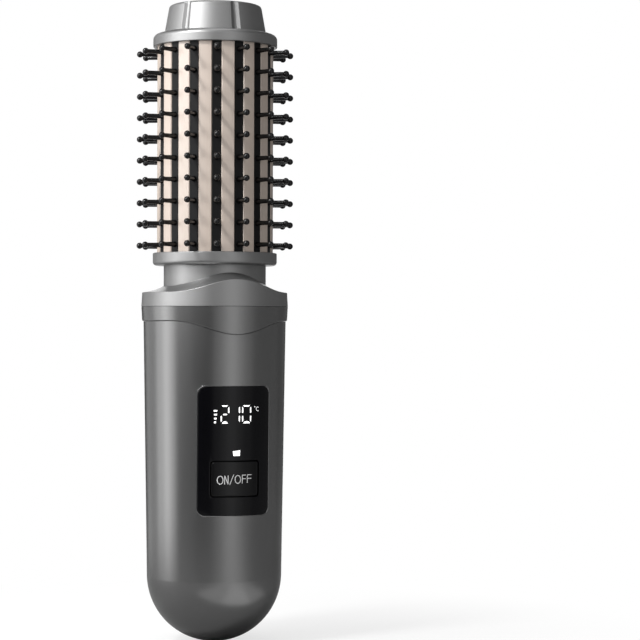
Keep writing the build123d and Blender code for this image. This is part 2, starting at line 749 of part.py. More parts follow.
dome_inside = dome_radius - handle_wall
with BuildPart() as handle_shell:
    with BuildSketch(Plane.XZ):
        with BuildLine():
            JernArc((0, 0), (1, 0), dome_radius, 90)
            Line((dome_radius, dome_radius), (handle_radius(spigot_top), spigot_top))
            Line((handle_radius(spigot_top), spigot_top), (wall_radius(spigot_top), spigot_top))
            Line((wall_radius(spigot_top), spigot_top), (dome_inside, dome_radius))
            inside = [pi / 2, pi / 3, pi / 6, 0]
            Polyline(*[(dome_inside * sin(turn), dome_radius - dome_inside * cos(turn)) for turn in inside])
            Line((0, handle_wall), (0, 0))
        make_face()
    revolve(axis=Axis.Z)
    add(skirt_room.part, mode=Mode.SUBTRACT)
    # Groove for the collar's snap bead
    with BuildSketch(Plane.XZ):
        Polygon(
            (spigot_radius + bead_radius, collar_crease - 2 * bead_radius),
            (spigot_radius - bead_radius, collar_crease),
            (spigot_radius + bead_radius, collar_crease + 2 * bead_radius),
            align=None,
        )
    revolve(axis=Axis.Z, mode=Mode.SUBTRACT)
    # Four guide ribs that carry the chassis
    rib_reach = wall_radius(chassis_top) + handle_wall / 2 - guide_rib_radius
    with BuildSketch(Plane.XY.offset(dome_radius)):
        with PolarLocations(guide_rib_radius + rib_reach / 2, guide_rib_count, start_angle=guide_rib_turn):
            Rectangle(rib_reach, guide_rib_width)
    extrude(amount=chassis_top - dome_radius)
    with BuildSketch(Plane.XZ):
        Polygon(
            (handle_radius(0), 0),
            (handle_radius(chassis_top), chassis_top),
            (beyond, chassis_top),
            (beyond, 0),
            align=None,
        )
    revolve(axis=Axis.Z, mode=Mode.SUBTRACT)
    # Recess for the lens, and the windows behind it
    lens_room = curved_slab(
        -lens_thickness,
        lens_thickness + seat_gap,
        lens_width + 2 * fit_gap,
        lens_height + 2 * fit_gap,
        lens_corner,
        lens_centre,
    )
    add(lens_room, mode=Mode.SUBTRACT)
    lens_rim = handle_shell.edges().filter_by(on_lens_rim)
    chamfer(lens_rim, lens_bevel)
    with BuildSketch(Plane.XZ.offset(board_front)):
        with Locations((0, display_centre)):
            RectangleRounded(
                display_width - 2 * window_margin, display_height - 2 * window_margin, window_corner
            )
        with Locations((mark_x, mark_centre)):
            Rectangle(guide_width + 2 * guide_gap, guide_height + 2 * guide_gap)
        with Locations((0, button_centre)):
            RectangleRounded(button_width + 2 * button_gap, button_height + 2 * button_gap, button_corner)
    extrude(amount=beyond, mode=Mode.SUBTRACT)
    # Bosses for the charging board and the opening of its socket
    with BuildSketch(Plane.XY.offset(usb_board_base)):
        with Locations((0, usb_screw_y), (0, -usb_screw_y)):
            Circle(usb_boss_radius)
    extrude(amount=handle_wall - usb_board_base)
    with BuildSketch(Plane.XY.offset(usb_board_base)):
        with Locations((0, usb_screw_y), (0, -usb_screw_y)):
            Circle(screw_radius + screw_gap)
    extrude(amount=handle_wall - usb_board_base + screw_radius, mode=Mode.SUBTRACT)
    with BuildSketch(Plane.XY.offset(usb_board_base)):
        RectangleRounded(port_width + 2 * port_gap, port_height + 2 * port_gap, port_height / 2)
    extrude(amount=-beyond, mode=Mode.SUBTRACT)
handle_shell.part.label = "handle_shell"
export_step(handle_shell.part, "parts/handle_shell.step")

# ================================================================ control panel
with BuildPart() as display_lens:
    add(curved_slab(0, lens_thickness, lens_width, lens_height, lens_corner, lens_centre))
    with BuildSketch(Plane.XZ):
        with Locations((0, button_centre)):
            RectangleRounded(button_width + 2 * button_gap, button_height + 2 * button_gap, button_corner)
    extrude(amount=beyond, mode=Mode.SUBTRACT)
display_lens.part.label = "display_lens"
export_step(display_lens.part, "parts/display_lens.step")

with BuildPart() as power_button:
    add(
        curved_slab(
            0,
            flange_top + flange_thickness / 2,
            button_width,
            button_height,
            button_corner,
            button_centre,
        )
    )
    add(
        curved_slab(
            flange_top,
            flange_top + flange_thickness,
            button_width + 2 * button_lip,
            button_height + 2 * button_lip,
            button_corner,
            button_centre,
        )
    )
    with BuildSketch(Plane.XZ.offset(plunger_tip)):
        with Locations((0, button_centre)):
            Circle(post_radius)
    extrude(amount=post_length + flange_thickness / 2)
power_button.part.label = "power_button"
export_step(power_button.part, "parts/power_button.step")

with BuildPart() as switch_plunger:
    with BuildSketch(Plane.XZ.offset(switch_front - plunger_root)):
        with Locations((0, button_centre)):
            Circle(plunger_radius)
    extrude(amount=plunger_root + plunger_reach)
switch_plunger.part.label = "switch_plunger"
export_step(switch_plunger.part, "parts/switch_plunger.step")

with BuildPart() as tact_switch:
    with BuildSketch(Plane.XZ.offset(board_front)):
        with Locations((0, button_centre)):
            Rectangle(switch_size, switch_size)
    extrude(amount=switch_height)
    with BuildSketch(Plane.XZ.offset(switch_front)):
        with Locations((0, button_centre)):
            Circle(plunger_radius + bore_gap)
    extrude(amount=-(plunger_root + button_travel + bore_gap), mode=Mode.SUBTRACT)
tact_switch.part.label = "tact_switch"
export_step(tact_switch.part, "parts/tact_switch.step")

with BuildPart() as led_display:
    with BuildSketch(Plane.XZ.offset(board_front)):
        with Locations((0, display_centre)):
            Rectangle(display_width, display_height)
    extrude(amount=display_depth)
    chamfer(led_display.faces().sort_by(Axis.Y)[0].edges(), display_bevel)
led_display.part.label = "led_display"
export_step(led_display.part, "parts/led_display.step")

with BuildPart() as status_led:
    with BuildSketch(Plane.XZ.offset(board_front)):
        with Locations((mark_x, mark_centre)):
            Rectangle(guide_width, guide_height)
    extrude(amount=status_led_depth)
status_led.part.label = "status_led"
export_step(status_led.part, "parts/status_led.step")

guide_back = board_front + status_led_depth + seat_gap
lens_back = handle_radius(mark_centre) - lens_thickness - fit_gap
with BuildPart() as light_guide:
    with BuildSketch(Plane.XZ.offset(guide_back)):
        with Locations((mark_x, mark_centre)):
            Rectangle(guide_width, guide_height)
    extrude(amount=sqrt(lens_back**2 - (abs(mark_x) + guide_width / 2) ** 2) - guide_back)
light_guide.part.label = "light_guide"
export_step(light_guide.part, "parts/light_guide.step")

# ================================================================ circuit board
board_height = board_top - board_base
board_middle = (board_top + board_base) / 2
board_screw_z = board_height - 2 * board_screw_inset
with BuildPart() as main_board:
    with BuildSketch(Plane.XZ.offset(board_back)):
        with Locations((0, board_middle)):
            RectangleRounded(board_width, board_height, board_corner)
            with GridLocations(2 * board_screw_x, board_screw_z, 2, 2):
                Circle(clearance_hole, mode=Mode.SUBTRACT)
    extrude(amount=board_thickness)
main_board.part.label = "main_board"
export_step(main_board.part, "parts/main_board.step")

with BuildPart() as board_screws:
    with BuildSketch(Plane.XZ.offset(board_front)):
        with Locations((0, board_middle)):
            with GridLocations(2 * board_screw_x, board_screw_z, 2, 2):
                Circle(screw_head_radius)
    extrude(amount=screw_head_height)
    with BuildSketch(Plane.XZ.offset(board_front)):
        with Locations((0, board_middle)):
            with GridLocations(2 * board_screw_x, board_screw_z, 2, 2):
                Circle(screw_radius)
    extrude(amount=-(board_thickness + board_standoff + spine_thickness / 2))
board_screws.part.label = "board_screws"
export_step(board_screws.part, "parts/board_screws.step")

with BuildPart() as control_chip:
    with BuildSketch(Plane.XZ.offset(board_front)):
        with Locations((0, chip_centre)):
            Rectangle(chip_size, chip_size)
    extrude(amount=chip_depth)
control_chip.part.label = "control_chip"
export_step(control_chip.part, "parts/control_chip.step")

with BuildPart() as power_transistor:
    with BuildSketch(Plane.XZ.offset(board_front)):
        with Locations((0, transistor_centre)):
            Rectangle(transistor_width, transistor_height)
    extrude(amount=transistor_depth)
power_transistor.part.label = "power_transistor"
export_step(power_transistor.part, "parts/power_transistor.step")

# ================================================================ chassis and cells
cell_places = ((-cell_x, cell_y), (cell_x, cell_y))
cradle_step = (cell_length - 2 * cradle_inset - cradle_thickness) / (cradle_count - 1)
spine_width = 2 * sqrt((guide_rib_radius - spine_room) ** 2 - spine_front**2)
lead_window_height = chassis_top - board_top + 2 * board_screw_inset
with BuildPart() as chassis:
    with BuildSketch(Plane.XY.offset(chassis_base)):
        Circle(guide_rib_radius - plate_gap / 2)
    extrude(amount=bottom_plate)
    with BuildSketch(Plane.XY.offset(chassis_top)):
        Circle(wall_radius(chassis_top) - plate_gap)
    extrude(amount=top_plate)
    with BuildSketch(Plane.XY.offset(chassis_base)):
        with Locations((0, -(spine_front + spine_back) / 2)):
            Rectangle(spine_width, spine_thickness)
    extrude(amount=flange_base - chassis_base)
    # Cradles that the two cells lie in
    for step in range(cradle_count):
        with BuildSketch(Plane.XY.offset(cell_base + cradle_inset + step * cradle_step)):
            with Locations((0, (cell_y - spine_back) / 2)):
                Rectangle(spine_width, cell_y + spine_back)
            with Locations(*cell_places):
                Circle(cell_radius + fit_gap, mode=Mode.SUBTRACT)
        extrude(amount=cradle_thickness)
    # Stand-offs of the circuit board
    with BuildSketch(Plane.XZ.offset(spine_front)):
        with Locations((0, board_middle)):
            with GridLocations(2 * board_screw_x, board_screw_z, 2, 2):
                Circle(standoff_radius)
    extrude(amount=board_standoff)
    with BuildSketch(Plane.XZ.offset(board_back)):
        with Locations((0, board_middle)):
            with GridLocations(2 * board_screw_x, board_screw_z, 2, 2):
                Circle(screw_radius + screw_gap)
    extrude(amount=-(board_standoff + spine_thickness), mode=Mode.SUBTRACT)
    # Openings for the wires: through the plates and under the top plate
    with BuildSketch(Plane.XY.offset(flange_base)):
        Circle(lead_hole_radius)
        with PolarLocations(flange_screw_radius, flange_screw_count, start_angle=flange_screw_turn):
            Circle(clearance_hole)
    extrude(amount=-top_plate, mode=Mode.SUBTRACT)
    with BuildSketch(Plane.XZ.offset(spine_back)):
        with Locations((0, chassis_top - lead_window_height / 2)):
            Rectangle(2 * lead_window_x, lead_window_height)
    extrude(amount=spine_thickness, mode=Mode.SUBTRACT)
    with BuildSketch(Plane.XY.offset(chassis_base)):
        with Locations((0, -wire_depth)):
            Rectangle(usb_board_width, board_standoff)
    extrude(amount=bottom_plate, mode=Mode.SUBTRACT)
chassis.part.label = "chassis"
export_step(chassis.part, "parts/chassis.step")

with BuildPart() as flange_screws:
    with BuildSketch(Plane.XY.offset(chassis_top - screw_head_height)):
        with PolarLocations(flange_screw_radius, flange_screw_count, start_angle=flange_screw_turn):
            Circle(screw_head_radius)
    extrude(amount=screw_head_height)
    with BuildSketch(Plane.XY.offset(chassis_top)):
        with PolarLocations(flange_screw_radius, flange_screw_count, start_angle=flange_screw_turn):
            Circle(screw_radius)
    extrude(amount=top_plate + flange_screw_grip)
flange_screws.part.label = "flange_screws"
export_step(flange_screws.part, "parts/flange_screws.step")

# The two cells are in series: one stands with its nub up, the other with its nub down
for number, (x, y) in enumerate(cell_places, start=1):
    nub_up = number == 1
    with BuildPart() as battery_cell:
        with BuildSketch(Plane.XY.offset(cell_base)):
            with Locations((x, y)):
                Circle(cell_radius)
        extrude(amount=cell_length)
        chamfer(battery_cell.edges(), cell_edge)
        with BuildSketch(Plane.XY.offset(cell_top if nub_up else cell_base)):
            with Locations((x, y)):
                Circle(nub_radius)
        extrude(amount=nub_height if nub_up else -nub_height)
    cell_name = f"battery_cell_{number}"
    battery_cell.part.label = cell_name
    export_step(battery_cell.part, f"parts/{cell_name}.step")

with BuildPart() as cell_tabs:
    with BuildSketch(Plane.XY.offset(cell_top + nub_height)):
        with Locations(cell_places[0]):
            Rectangle(tab_width, tab_width)
    extrude(amount=tab_thickness)
    with BuildSketch(Plane.XY.offset(cell_top)):
        with Locations(cell_places[1]):
            Rectangle(tab_width, tab_width)
    extrude(amount=tab_thickness)
cell_tabs.part.label = "cell_tabs"
export_step(cell_tabs.part, "parts/cell_tabs.step")

# Stepped strip that joins the cells at the bottom
link_low = cell_base - nub_height - tab_thickness
link_step = 2 * tab_thickness
with BuildPart() as cell_link:
    with BuildSketch(Plane.XZ.offset(-cell_y)):
        with BuildLine():
            Polyline(
                (cell_x + nub_radius, link_low),
                (cell_x + nub_radius, link_low + tab_thickness),
                (link_step, link_low + tab_thickness),
                (link_step, cell_base),
                (-cell_x - nub_radius, cell_base),
                (-cell_x - nub_radius, cell_base - tab_thickness),
                (link_step - tab_thickness, cell_base - tab_thickness),
                (link_step - tab_thickness, link_low),
                close=True,
            )
        make_face()
    extrude(amount=tab_width / 2, both=True)
cell_link.part.label = "cell_link"
export_step(cell_link.part, "parts/cell_link.step")

# Foam between the cells and the back of the handle
pad_side = pad_width / 2
pad_front = cell_y + sqrt(cell_radius**2 - (cell_x - pad_side) ** 2) + fit_gap
pad_back = sqrt(wall_radius(cell_base + pad_inset) ** 2 - pad_side**2) - fit_gap
with BuildPart() as battery_pad:
    with BuildSketch(Plane.XY.offset(cell_base + pad_inset)):
        with Locations((0, (pad_front + pad_back) / 2)):
            Rectangle(pad_width, pad_back - pad_front)
    extrude(amount=cell_length - 2 * pad_inset)
battery_pad.part.label = "battery_pad"
export_step(battery_pad.part, "parts/battery_pad.step")

# ================================================================ charging socket
usb_top = usb_board_base + usb_board_thickness
with BuildPart() as usb_board:
    with BuildSketch(Plane.XY.offset(usb_board_base)):
        RectangleRounded(usb_board_width, usb_board_length, usb_board_corner)
        with Locations((0, usb_screw_y), (0, -usb_screw_y)):
            Circle(clearance_hole, mode=Mode.SUBTRACT)
    extrude(amount=usb_board_thickness)
usb_board.part.label = "usb_board"
export_step(usb_board.part, "parts/usb_board.step")

socket_round = 0.49 * port_height
with BuildPart() as usb_socket:
    with BuildSketch(Plane.XY.offset(port_recess)):
        RectangleRounded(port_width, port_height, socket_round)
    extrude(amount=usb_board_base - port_recess)
    with BuildSketch(Plane.XY.offset(port_recess)):
        RectangleRounded(
            port_width - 2 * socket_wall, port_height - 2 * socket_wall, socket_round - socket_wall
        )
        Rectangle(tongue_width, socket_tongue, mode=Mode.SUBTRACT)
    extrude(amount=socket_depth, mode=Mode.SUBTRACT)
usb_socket.part.label = "usb_socket"
export_step(usb_socket.part, "parts/usb_socket.step")

with BuildPart() as usb_screws:
    with BuildSketch(Plane.XY.offset(usb_top)):
        with Locations((0, usb_screw_y), (0, -usb_screw_y)):
            Circle(screw_head_radius)
    extrude(amount=screw_head_height)
    with BuildSketch(Plane.XY.offset(usb_top)):
        with Locations((0, usb_screw_y), (0, -usb_screw_y)):
            Circle(screw_radius)
    extrude(amount=-(usb_board_thickness + usb_screw_grip))
usb_screws.part.label = "usb_screws"
export_step(usb_screws.part, "parts/usb_screws.step")


# ================================================================ wires
def wire(points, radius):
    """An insulated wire of round section along straight runs joined by arcs."""
    with BuildPart() as run:
        with BuildLine() as route:
            FilletPolyline(*points, radius=wire_bend)
        with BuildSketch(Plane(origin=route.line @ 0, z_dir=route.line % 0)):
            RegularPolygon(radius, wire_sides)
        sweep()
    return run.part


heater_turn = chassis_top - wire_bend
with BuildPart() as heater_leads:
    for x in (-heater_lead_x, heater_lead_x):
        add(
            wire(
                [
                    (x, 0, heater_base),
                    (x, 0, heater_turn),
                    (x, -wire_depth, heater_turn),
                    (x, -wire_depth, board_top - solder_inset),
                ],
                power_wire,
            )
        )
heater_leads.part.label = "heater_leads"
export_step(heater_leads.part, "parts/heater_leads.step")

with BuildPart() as sensor_leads:
    for x in (-sensor_x, sensor_x):
        add(
            wire(
                [
                    (x, sensor_y, heater_base),
                    (x, sensor_y, heater_turn),
                    (x, -wire_depth, heater_turn),
                    (x, -wire_depth, board_top - solder_inset),
                ],
                sensor_wire,
            )
        )
sensor_leads.part.label = "sensor_leads"
export_step(sensor_leads.part, "parts/sensor_leads.step")

battery_turn = cell_top + nub_height + 2 * wire_bend
battery_lead_y = cell_y - battery_lead_inset
with BuildPart() as battery_leads:
    for x, start in ((-battery_lead_x, cell_top + nub_height), (battery_lead_x, cell_top)):
        add(
            wire(
                [
                    (x, battery_lead_y, start + tab_thickness),
                    (x, battery_lead_y, battery_turn),
                    (x, -wire_depth, battery_turn),
                    (x, -wire_depth, board_top - solder_inset),
                ],
                power_wire,
            )
        )
battery_leads.part.label = "battery_leads"
export_step(battery_leads.part, "parts/battery_leads.step")

with BuildPart() as charge_leads:
    for x in (-charge_lead_x, charge_lead_x):
        add(
            wire(
                [
                    (x, -usb_screw_y, usb_top),
                    (x, -usb_screw_y, usb_top + charge_lead_rise),
                    (x, -wire_depth, chassis_base - charge_lead_drop),
                    (x, -wire_depth, board_base + solder_inset),
                ],
                power_wire,
            )
        )
charge_leads.part.label = "charge_leads"
export_step(charge_leads.part, "parts/charge_leads.step")
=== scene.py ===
"""Looks of a cordless heated round brush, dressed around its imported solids.

Classes hold their sizes in millimetres. A mould collects the closed shells of one piece, also in
millimetres, and casts them as one object in metres, in the frame of the solids: +Z runs from the
round end of the handle to the tip cap, and the display faces -Y. Azimuths are in degrees round the
Z axis, 0 towards the display and 90 towards +X.
"""

import json
import logging
import math
from collections.abc import Callable, Sequence
from dataclasses import dataclass, field
from enum import Enum
from typing import Any

import bmesh
import bpy
from bpy.types import Material, Node, NodeSocket, NodeTree, Object
from mathutils import Matrix, Vector


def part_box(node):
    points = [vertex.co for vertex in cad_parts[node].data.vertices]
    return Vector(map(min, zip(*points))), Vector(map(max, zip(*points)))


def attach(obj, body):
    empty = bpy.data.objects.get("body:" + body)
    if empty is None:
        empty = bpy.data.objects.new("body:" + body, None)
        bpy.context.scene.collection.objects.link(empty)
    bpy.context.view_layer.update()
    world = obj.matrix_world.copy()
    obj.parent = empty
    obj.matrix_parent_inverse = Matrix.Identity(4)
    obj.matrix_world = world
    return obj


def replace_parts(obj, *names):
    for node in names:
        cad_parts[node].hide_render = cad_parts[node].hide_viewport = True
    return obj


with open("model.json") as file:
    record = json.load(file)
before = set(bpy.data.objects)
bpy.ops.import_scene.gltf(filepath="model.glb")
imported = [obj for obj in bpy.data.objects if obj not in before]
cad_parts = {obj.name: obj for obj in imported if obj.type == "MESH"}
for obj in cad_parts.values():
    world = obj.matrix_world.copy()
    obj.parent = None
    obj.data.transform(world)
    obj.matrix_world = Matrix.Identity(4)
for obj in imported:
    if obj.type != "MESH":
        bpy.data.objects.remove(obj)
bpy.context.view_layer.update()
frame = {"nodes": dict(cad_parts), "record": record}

log = logging.getLogger("brush")

Point = tuple[float, float]
MM = 0.001
BODY = "brush"
BUTTON = "button"
WHITE = "FFFFFF"
SHARP_ANGLE = 32.0  # degrees between faces that stay a crease
WELD = 1e-5  # points nearer than this become one
CURVE_STEPS = 8
SQUARE = ((-1, -1), (1, -1), (1, 1), (-1, 1))


# ---- small tools
def linear(hex_colour: str) -> tuple[float, float, float, float]:
    """Turns an sRGB hex colour into a linear one.

    Args:
        hex_colour: six hex digits, such as "8A8A8C".

    Returns:
        Linear red, green, blue and an alpha of 1.
    """
    parts = [int(hex_colour[place : place + 2], 16) / 255 for place in (0, 2, 4)]
    red, green, blue = [p / 12.92 if p <= 0.04045 else ((p + 0.055) / 1.055) ** 2.4 for p in parts]
    return (red, green, blue, 1.0)


def per_metre(size_mm: float) -> float:
    """Scale of a pattern, for a texture that counts in metres, from the size of one repeat."""
    return 1 / (size_mm * MM)


def feed(
    node: Node,
    settings: dict[Any, Any] | None = None,
    links: dict[Any, NodeSocket] | None = None,
) -> Node:
    """Sets a shader node and links its inputs.

    Args:
        node: the node.
        settings: values by the name of an attribute, or by the name or number of an input socket.
        links: output sockets by the name or number of the input socket that they feed.

    Returns:
        The same node.
    """
    for name, value in (settings or {}).items():
        if isinstance(name, str) and hasattr(node, name):
            setattr(node, name, value)
        else:
            node.inputs[name].default_value = value
    for name, socket in (links or {}).items():
        node.id_data.links.new(socket, node.inputs[name])
    return node


def add_node(
    tree: NodeTree,
    kind: str,
    settings: dict[Any, Any] | None = None,
    links: dict[Any, NodeSocket] | None = None,
) -> Node:
    """Adds a shader node.

    Args:
        tree: the material's or world's nodes.
        kind: Blender's name of the node type.
        settings: as feed takes them.
        links: as feed takes them.

    Returns:
        The new node.
    """
    return feed(tree.nodes.new(kind), settings, links)


def new_material(name: str) -> tuple[Material, NodeTree, Node]:
    """Makes a material.

    Args:
        name: real material and process.

    Returns:
        The material, its nodes and its main shader.
    """
    material = bpy.data.materials.new(name)
    material.use_nodes = True
    return material, material.node_tree, material.node_tree.nodes["Principled BSDF"]


def new_object(name: str, data: Any) -> Object:
    """Makes an object in the scene.

    Args:
        name: its name.
        data: its mesh, lamp or camera.

    Returns:
        The new object.
    """
    made = bpy.data.objects.new(name, data)
    bpy.context.scene.collection.objects.link(made)
    return made


def box_mm(node: str) -> tuple[Vector, Vector]:
    """Lowest and highest corner of a solid of the frame, in millimetres."""
    low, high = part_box(node)
    return low / MM, high / MM


def on_circle(radius: float, azimuth: float, height: float) -> Vector:
    """The point at a radius, an azimuth in degrees and a height."""
    turn = math.radians(azimuth)
    return Vector((radius * math.sin(turn), -radius * math.cos(turn), height))


def filleted(corners: Sequence[tuple[float, float, float]], steps: int = 6) -> list[Point]:
    """Rounds the corners of a closed outline.

    Args:
        corners: x, y and rounding radius of each corner, with radius 0 for a sharp one.
        steps: straight pieces in each rounded corner.

    Returns:
        The points of the outline with its arcs worked out.
    """
    outline: list[Point] = []
    for index, (x, y, radius) in enumerate(corners):
        if not radius:
            outline.append((x, y))
            continue
        here = Vector((x, y))
        back = (Vector(corners[index - 1][:2]) - here).normalized()
        ahead = (Vector(corners[(index + 1) % len(corners)][:2]) - here).normalized()
        half = back.angle(ahead) / 2
        centre = here + (back + ahead).normalized() * (radius / math.sin(half))
        start = here + back * (radius / math.tan(half)) - centre
        end = here + ahead * (radius / math.tan(half)) - centre
        first = math.atan2(start.y, start.x)
        sweep = (math.atan2(end.y, end.x) - first + math.pi) % math.tau - math.pi
        for step in range(steps + 1):
            turn = first + sweep * step / steps
            outline.append((centre.x + radius * math.cos(turn), centre.y + radius * math.sin(turn)))
    return outline


class Mould:
    """Collects closed shells, in millimetres, and casts them as one piece."""

    def __init__(self) -> None:
        """Starts an empty mould."""
        self.mesh = bmesh.new()

    def skin(
        self, slices: Sequence[Sequence[Vector]], place: Matrix | None = None, ring: bool = True
    ) -> None:
        """Skins closed outlines, in a ring or between two flat ends.

        Args:
            slices: the outlines of the shell in their order, all of one length.
            place: where the shell goes, if it isn't where it was drawn.
            ring: whether the last outline joins the first. Otherwise both get a flat face.
        """
        put = place or Matrix()
        rows = [[self.mesh.verts.new(put @ point) for point in outline] for outline in slices]
        pairs = list(zip(rows, rows[1:]))
        if ring:
            pairs.append((rows[-1], rows[0]))
        else:
            self.mesh.faces.new(rows[0][::-1])
            self.mesh.faces.new(rows[-1])
        for near, far in pairs:
            for first in range(len(near)):
                second = (first + 1) % len(near)
                self.mesh.faces.new((near[first], near[second], far[second], far[first]))

    def turn(self, profile: Sequence[Point], steps: int, place: Matrix | None = None) -> None:
        """Turns a closed profile of radius and height round the Z axis."""
        angles = [360 * step / steps for step in range(steps)]
        self.skin([[on_circle(r, angle, z) for r, z in profile] for angle in angles], place)

    def wrap(self, shape: Callable[[Vector], Vector], step: float) -> None:
        """Bends flat shells onto a curved face.

        Args:
            shape: takes a flat point to its place on the face.
            step: widest stretch along X that stays straight.
        """
        sides = [vert.co.x for vert in self.mesh.verts]
        cut = math.ceil(min(sides) / step) * step
        while cut < max(sides):
            whole = self.mesh.verts[:] + self.mesh.edges[:] + self.mesh.faces[:]
            bmesh.ops.bisect_plane(self.mesh, geom=whole, plane_co=(cut, 0, 0), plane_no=(1, 0, 0))
            cut += step
        for vert in self.mesh.verts:
            vert.co = shape(vert.co.copy())

    def cast(self, name: str, material: Material, slot: str, body: str = BODY) -> Object:
        """Turns the shells into an object that rides on a body.

        Args:
            name: the piece's name.
            material: its finish.
            slot: the record's material slot that the finish belongs to; not used.
            body: the body that it moves with.

        Returns:
            The finished object.
        """
        bmesh.ops.remove_doubles(self.mesh, verts=self.mesh.verts, dist=WELD)
        loose = [edge for edge in self.mesh.edges if not edge.link_faces]
        bmesh.ops.delete(self.mesh, geom=loose, context="EDGES")
        bmesh.ops.recalc_face_normals(self.mesh, faces=self.mesh.faces)
        self.mesh.transform(Matrix.Scale(MM, 4))
        data = bpy.data.meshes.new(name)
        self.mesh.to_mesh(data)
        self.mesh.free()
        data.shade_smooth()
        data.set_sharp_from_angle(angle=math.radians(SHARP_ANGLE))
        data.materials.append(material)
        piece = new_object(name, data)
        weights = piece.modifiers.new("even_normals", "WEIGHTED_NORMAL")
        weights.keep_sharp = True
        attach(piece, body)
        return piece


# ---- finishes
@dataclass(frozen=True)
class Finish:
    """A moulded, painted or plated surface with an even grain.

    The grain is a fine noise that shades the colour a little, varies the gloss and, through a bump,
    breaks up the reflections.
    """

    name: str
    colour: str
    shade: str
    roughness: float
    metallic: float = 0.0
    ior: float = 1.5
    grain_mm: float = 0.5
    gloss_spread: float = 0.04
    bump_mm: float = 0.003
    bump_strength: float = 0.5
    detail: float = 3.0
    stretch: tuple[float, float, float] = (1.0, 1.0, 1.0)

    def build(self) -> Material:
        """Makes the material.

        Returns:
            A node material with the finish's colour, gloss and grain.
        """
        material, tree, shader = new_material(self.name)
        place = add_node(tree, "ShaderNodeTexCoord").outputs["Object"]
        stretched = add_node(tree, "ShaderNodeMapping", {"Scale": self.stretch}, {"Vector": place})
        noise = {"Scale": per_metre(self.grain_mm), "Detail": self.detail}
        grain = add_node(tree, "ShaderNodeTexNoise", noise, {"Vector": stretched.outputs["Vector"]})
        height = grain.outputs["Fac"]
        tones = {"data_type": "RGBA", "A": linear(self.shade), "B": linear(self.colour)}
        colour = add_node(tree, "ShaderNodeMix", tones, {"Factor": height})
        levels = {
            "To Min": self.roughness - self.gloss_spread,
            "To Max": self.roughness + self.gloss_spread,
        }
        gloss = add_node(tree, "ShaderNodeMapRange", levels, {"Value": height})
        relief = {"Strength": self.bump_strength, "Distance": self.bump_mm * MM}
        bump = add_node(tree, "ShaderNodeBump", relief, {"Height": height})
        patterns = {
            "Base Color": colour.outputs["Result"],
            "Roughness": gloss.outputs["Result"],
            "Normal": bump.outputs["Normal"],
        }
        feed(shader, {"Metallic": self.metallic}, patterns)
        if not self.metallic:
            feed(shader, {"IOR": self.ior})
        return material


@dataclass(frozen=True)
class LitSegment:
    """White light of a display segment, seen through smoked acrylic."""

    name: str
    colour: str
    strength: float
    dimmest: float = 0.92
    falloff_mm: float = 3.0

    def build(self) -> Material:
        """Makes the material.

        Returns:
            A glow with the slight unevenness of the diffuser behind it.
        """
        material, tree, shader = new_material(self.name)
        place = add_node(tree, "ShaderNodeTexCoord").outputs["Object"]
        noise = {"Scale": per_metre(self.falloff_mm), "Detail": 1.0}
        cloud = add_node(tree, "ShaderNodeTexNoise", noise, {"Vector": place})
        levels = {"To Min": self.dimmest * self.strength, "To Max": self.strength}
        glow = add_node(tree, "ShaderNodeMapRange", levels, {"Value": cloud.outputs["Fac"]})
        light = linear(self.colour)
        feed(
            shader,
            {"Base Color": light, "Emission Color": light},
            {"Emission Strength": glow.outputs["Result"]},
        )
        return material


# Satin metallic paint sprayed over moulded ABS: gunmetal grey with a soft sheen that turns dark where
# nothing bright stands opposite. Its flakes are 0.05 mm across, drawn at 0.3 mm so that they show.
SATIN_PAINT = Finish(
    "satin_metallic_paint_on_abs", "797979", "767676", 0.27, 0.9,
    grain_mm=0.3, gloss_spread=0.008, bump_mm=0.00015,
)
# The same paint on the crown, the neck and the rings, in a lighter copy whose colour is painted light for the
# brighter light that falls there; its rougher gloss spreads light wider there.
LIT_COPY_PAINT = Finish(
    "metallic_paint_on_pbt_lit_copy", "888888", "848484", 0.4, 0.85,
    grain_mm=0.3, gloss_spread=0.01, bump_mm=0.0003,
)
# The same paint on the cap, in a lighter copy whose colour is painted light for the brighter light on its
# tapered side, with a sheen that spreads wide over its flats.
CAP_LIT_COPY_PAINT = Finish(
    "metallic_paint_on_pbt_cap_lit_copy", "868686", "828282", 0.5, 0.9,
    grain_mm=0.3, gloss_spread=0.015, bump_mm=0.0003,
)
# Ceramic coating on extruded aluminium: pale champagne, satin, with faint lines along the extrusion.
CERAMIC_COAT = Finish(
    "champagne_ceramic_coat_on_extruded_aluminium", "B5A89D", "AE9F94", 0.38,
    ior=1.75, grain_mm=0.5, gloss_spread=0.03, bump_mm=0.002, stretch=(1.0, 1.0, 0.04),
)
# Glass-filled nylon, moulded against a sparked steel face: dull black, the strips drink the light.
STRIP_NYLON = Finish(
    "black_glass_filled_nylon_sparked", "0E0E0F", "0A0A0B", 0.5,
    ior=1.25, grain_mm=0.3, bump_mm=0.002,
)
# The same nylon, moulded in polished cavities: gloss black pins with a small highlight each.
PIN_NYLON = Finish(
    "black_nylon_moulded_polished", "0C0B0C", "080808", 0.14,
    ior=1.36, grain_mm=0.3, gloss_spread=0.02, bump_mm=0.0005,
)
# Smoked acrylic, polished: nearly black, with a soft, dim reflection.
SMOKED_ACRYLIC = Finish(
    "smoked_acrylic_polished", "060609", "040406", 0.2,
    ior=1.3, grain_mm=1.5, gloss_spread=0.01, bump_mm=0.0005,
)
# Gloss ABS of the push button, moulded: a shade softer than the lens round it.
BUTTON_ABS = Finish(
    "gloss_black_abs_moulded", "08080A", "060607", 0.22,
    ior=1.32, grain_mm=0.8, gloss_spread=0.02, bump_mm=0.0008,
)
# Pad-printed ink: light grey, dull, thin enough to follow the button.
PRINTED_INK = Finish("light_grey_ink_pad_printed", "DADADA", "CFCFCF", 0.6, grain_mm=0.2)
# Light of white diodes through the diffuser behind the lens: even, a little cloudy.
LIT_WHITE = LitSegment(name="white_led_segment_lit", colour=WHITE, strength=1.0)

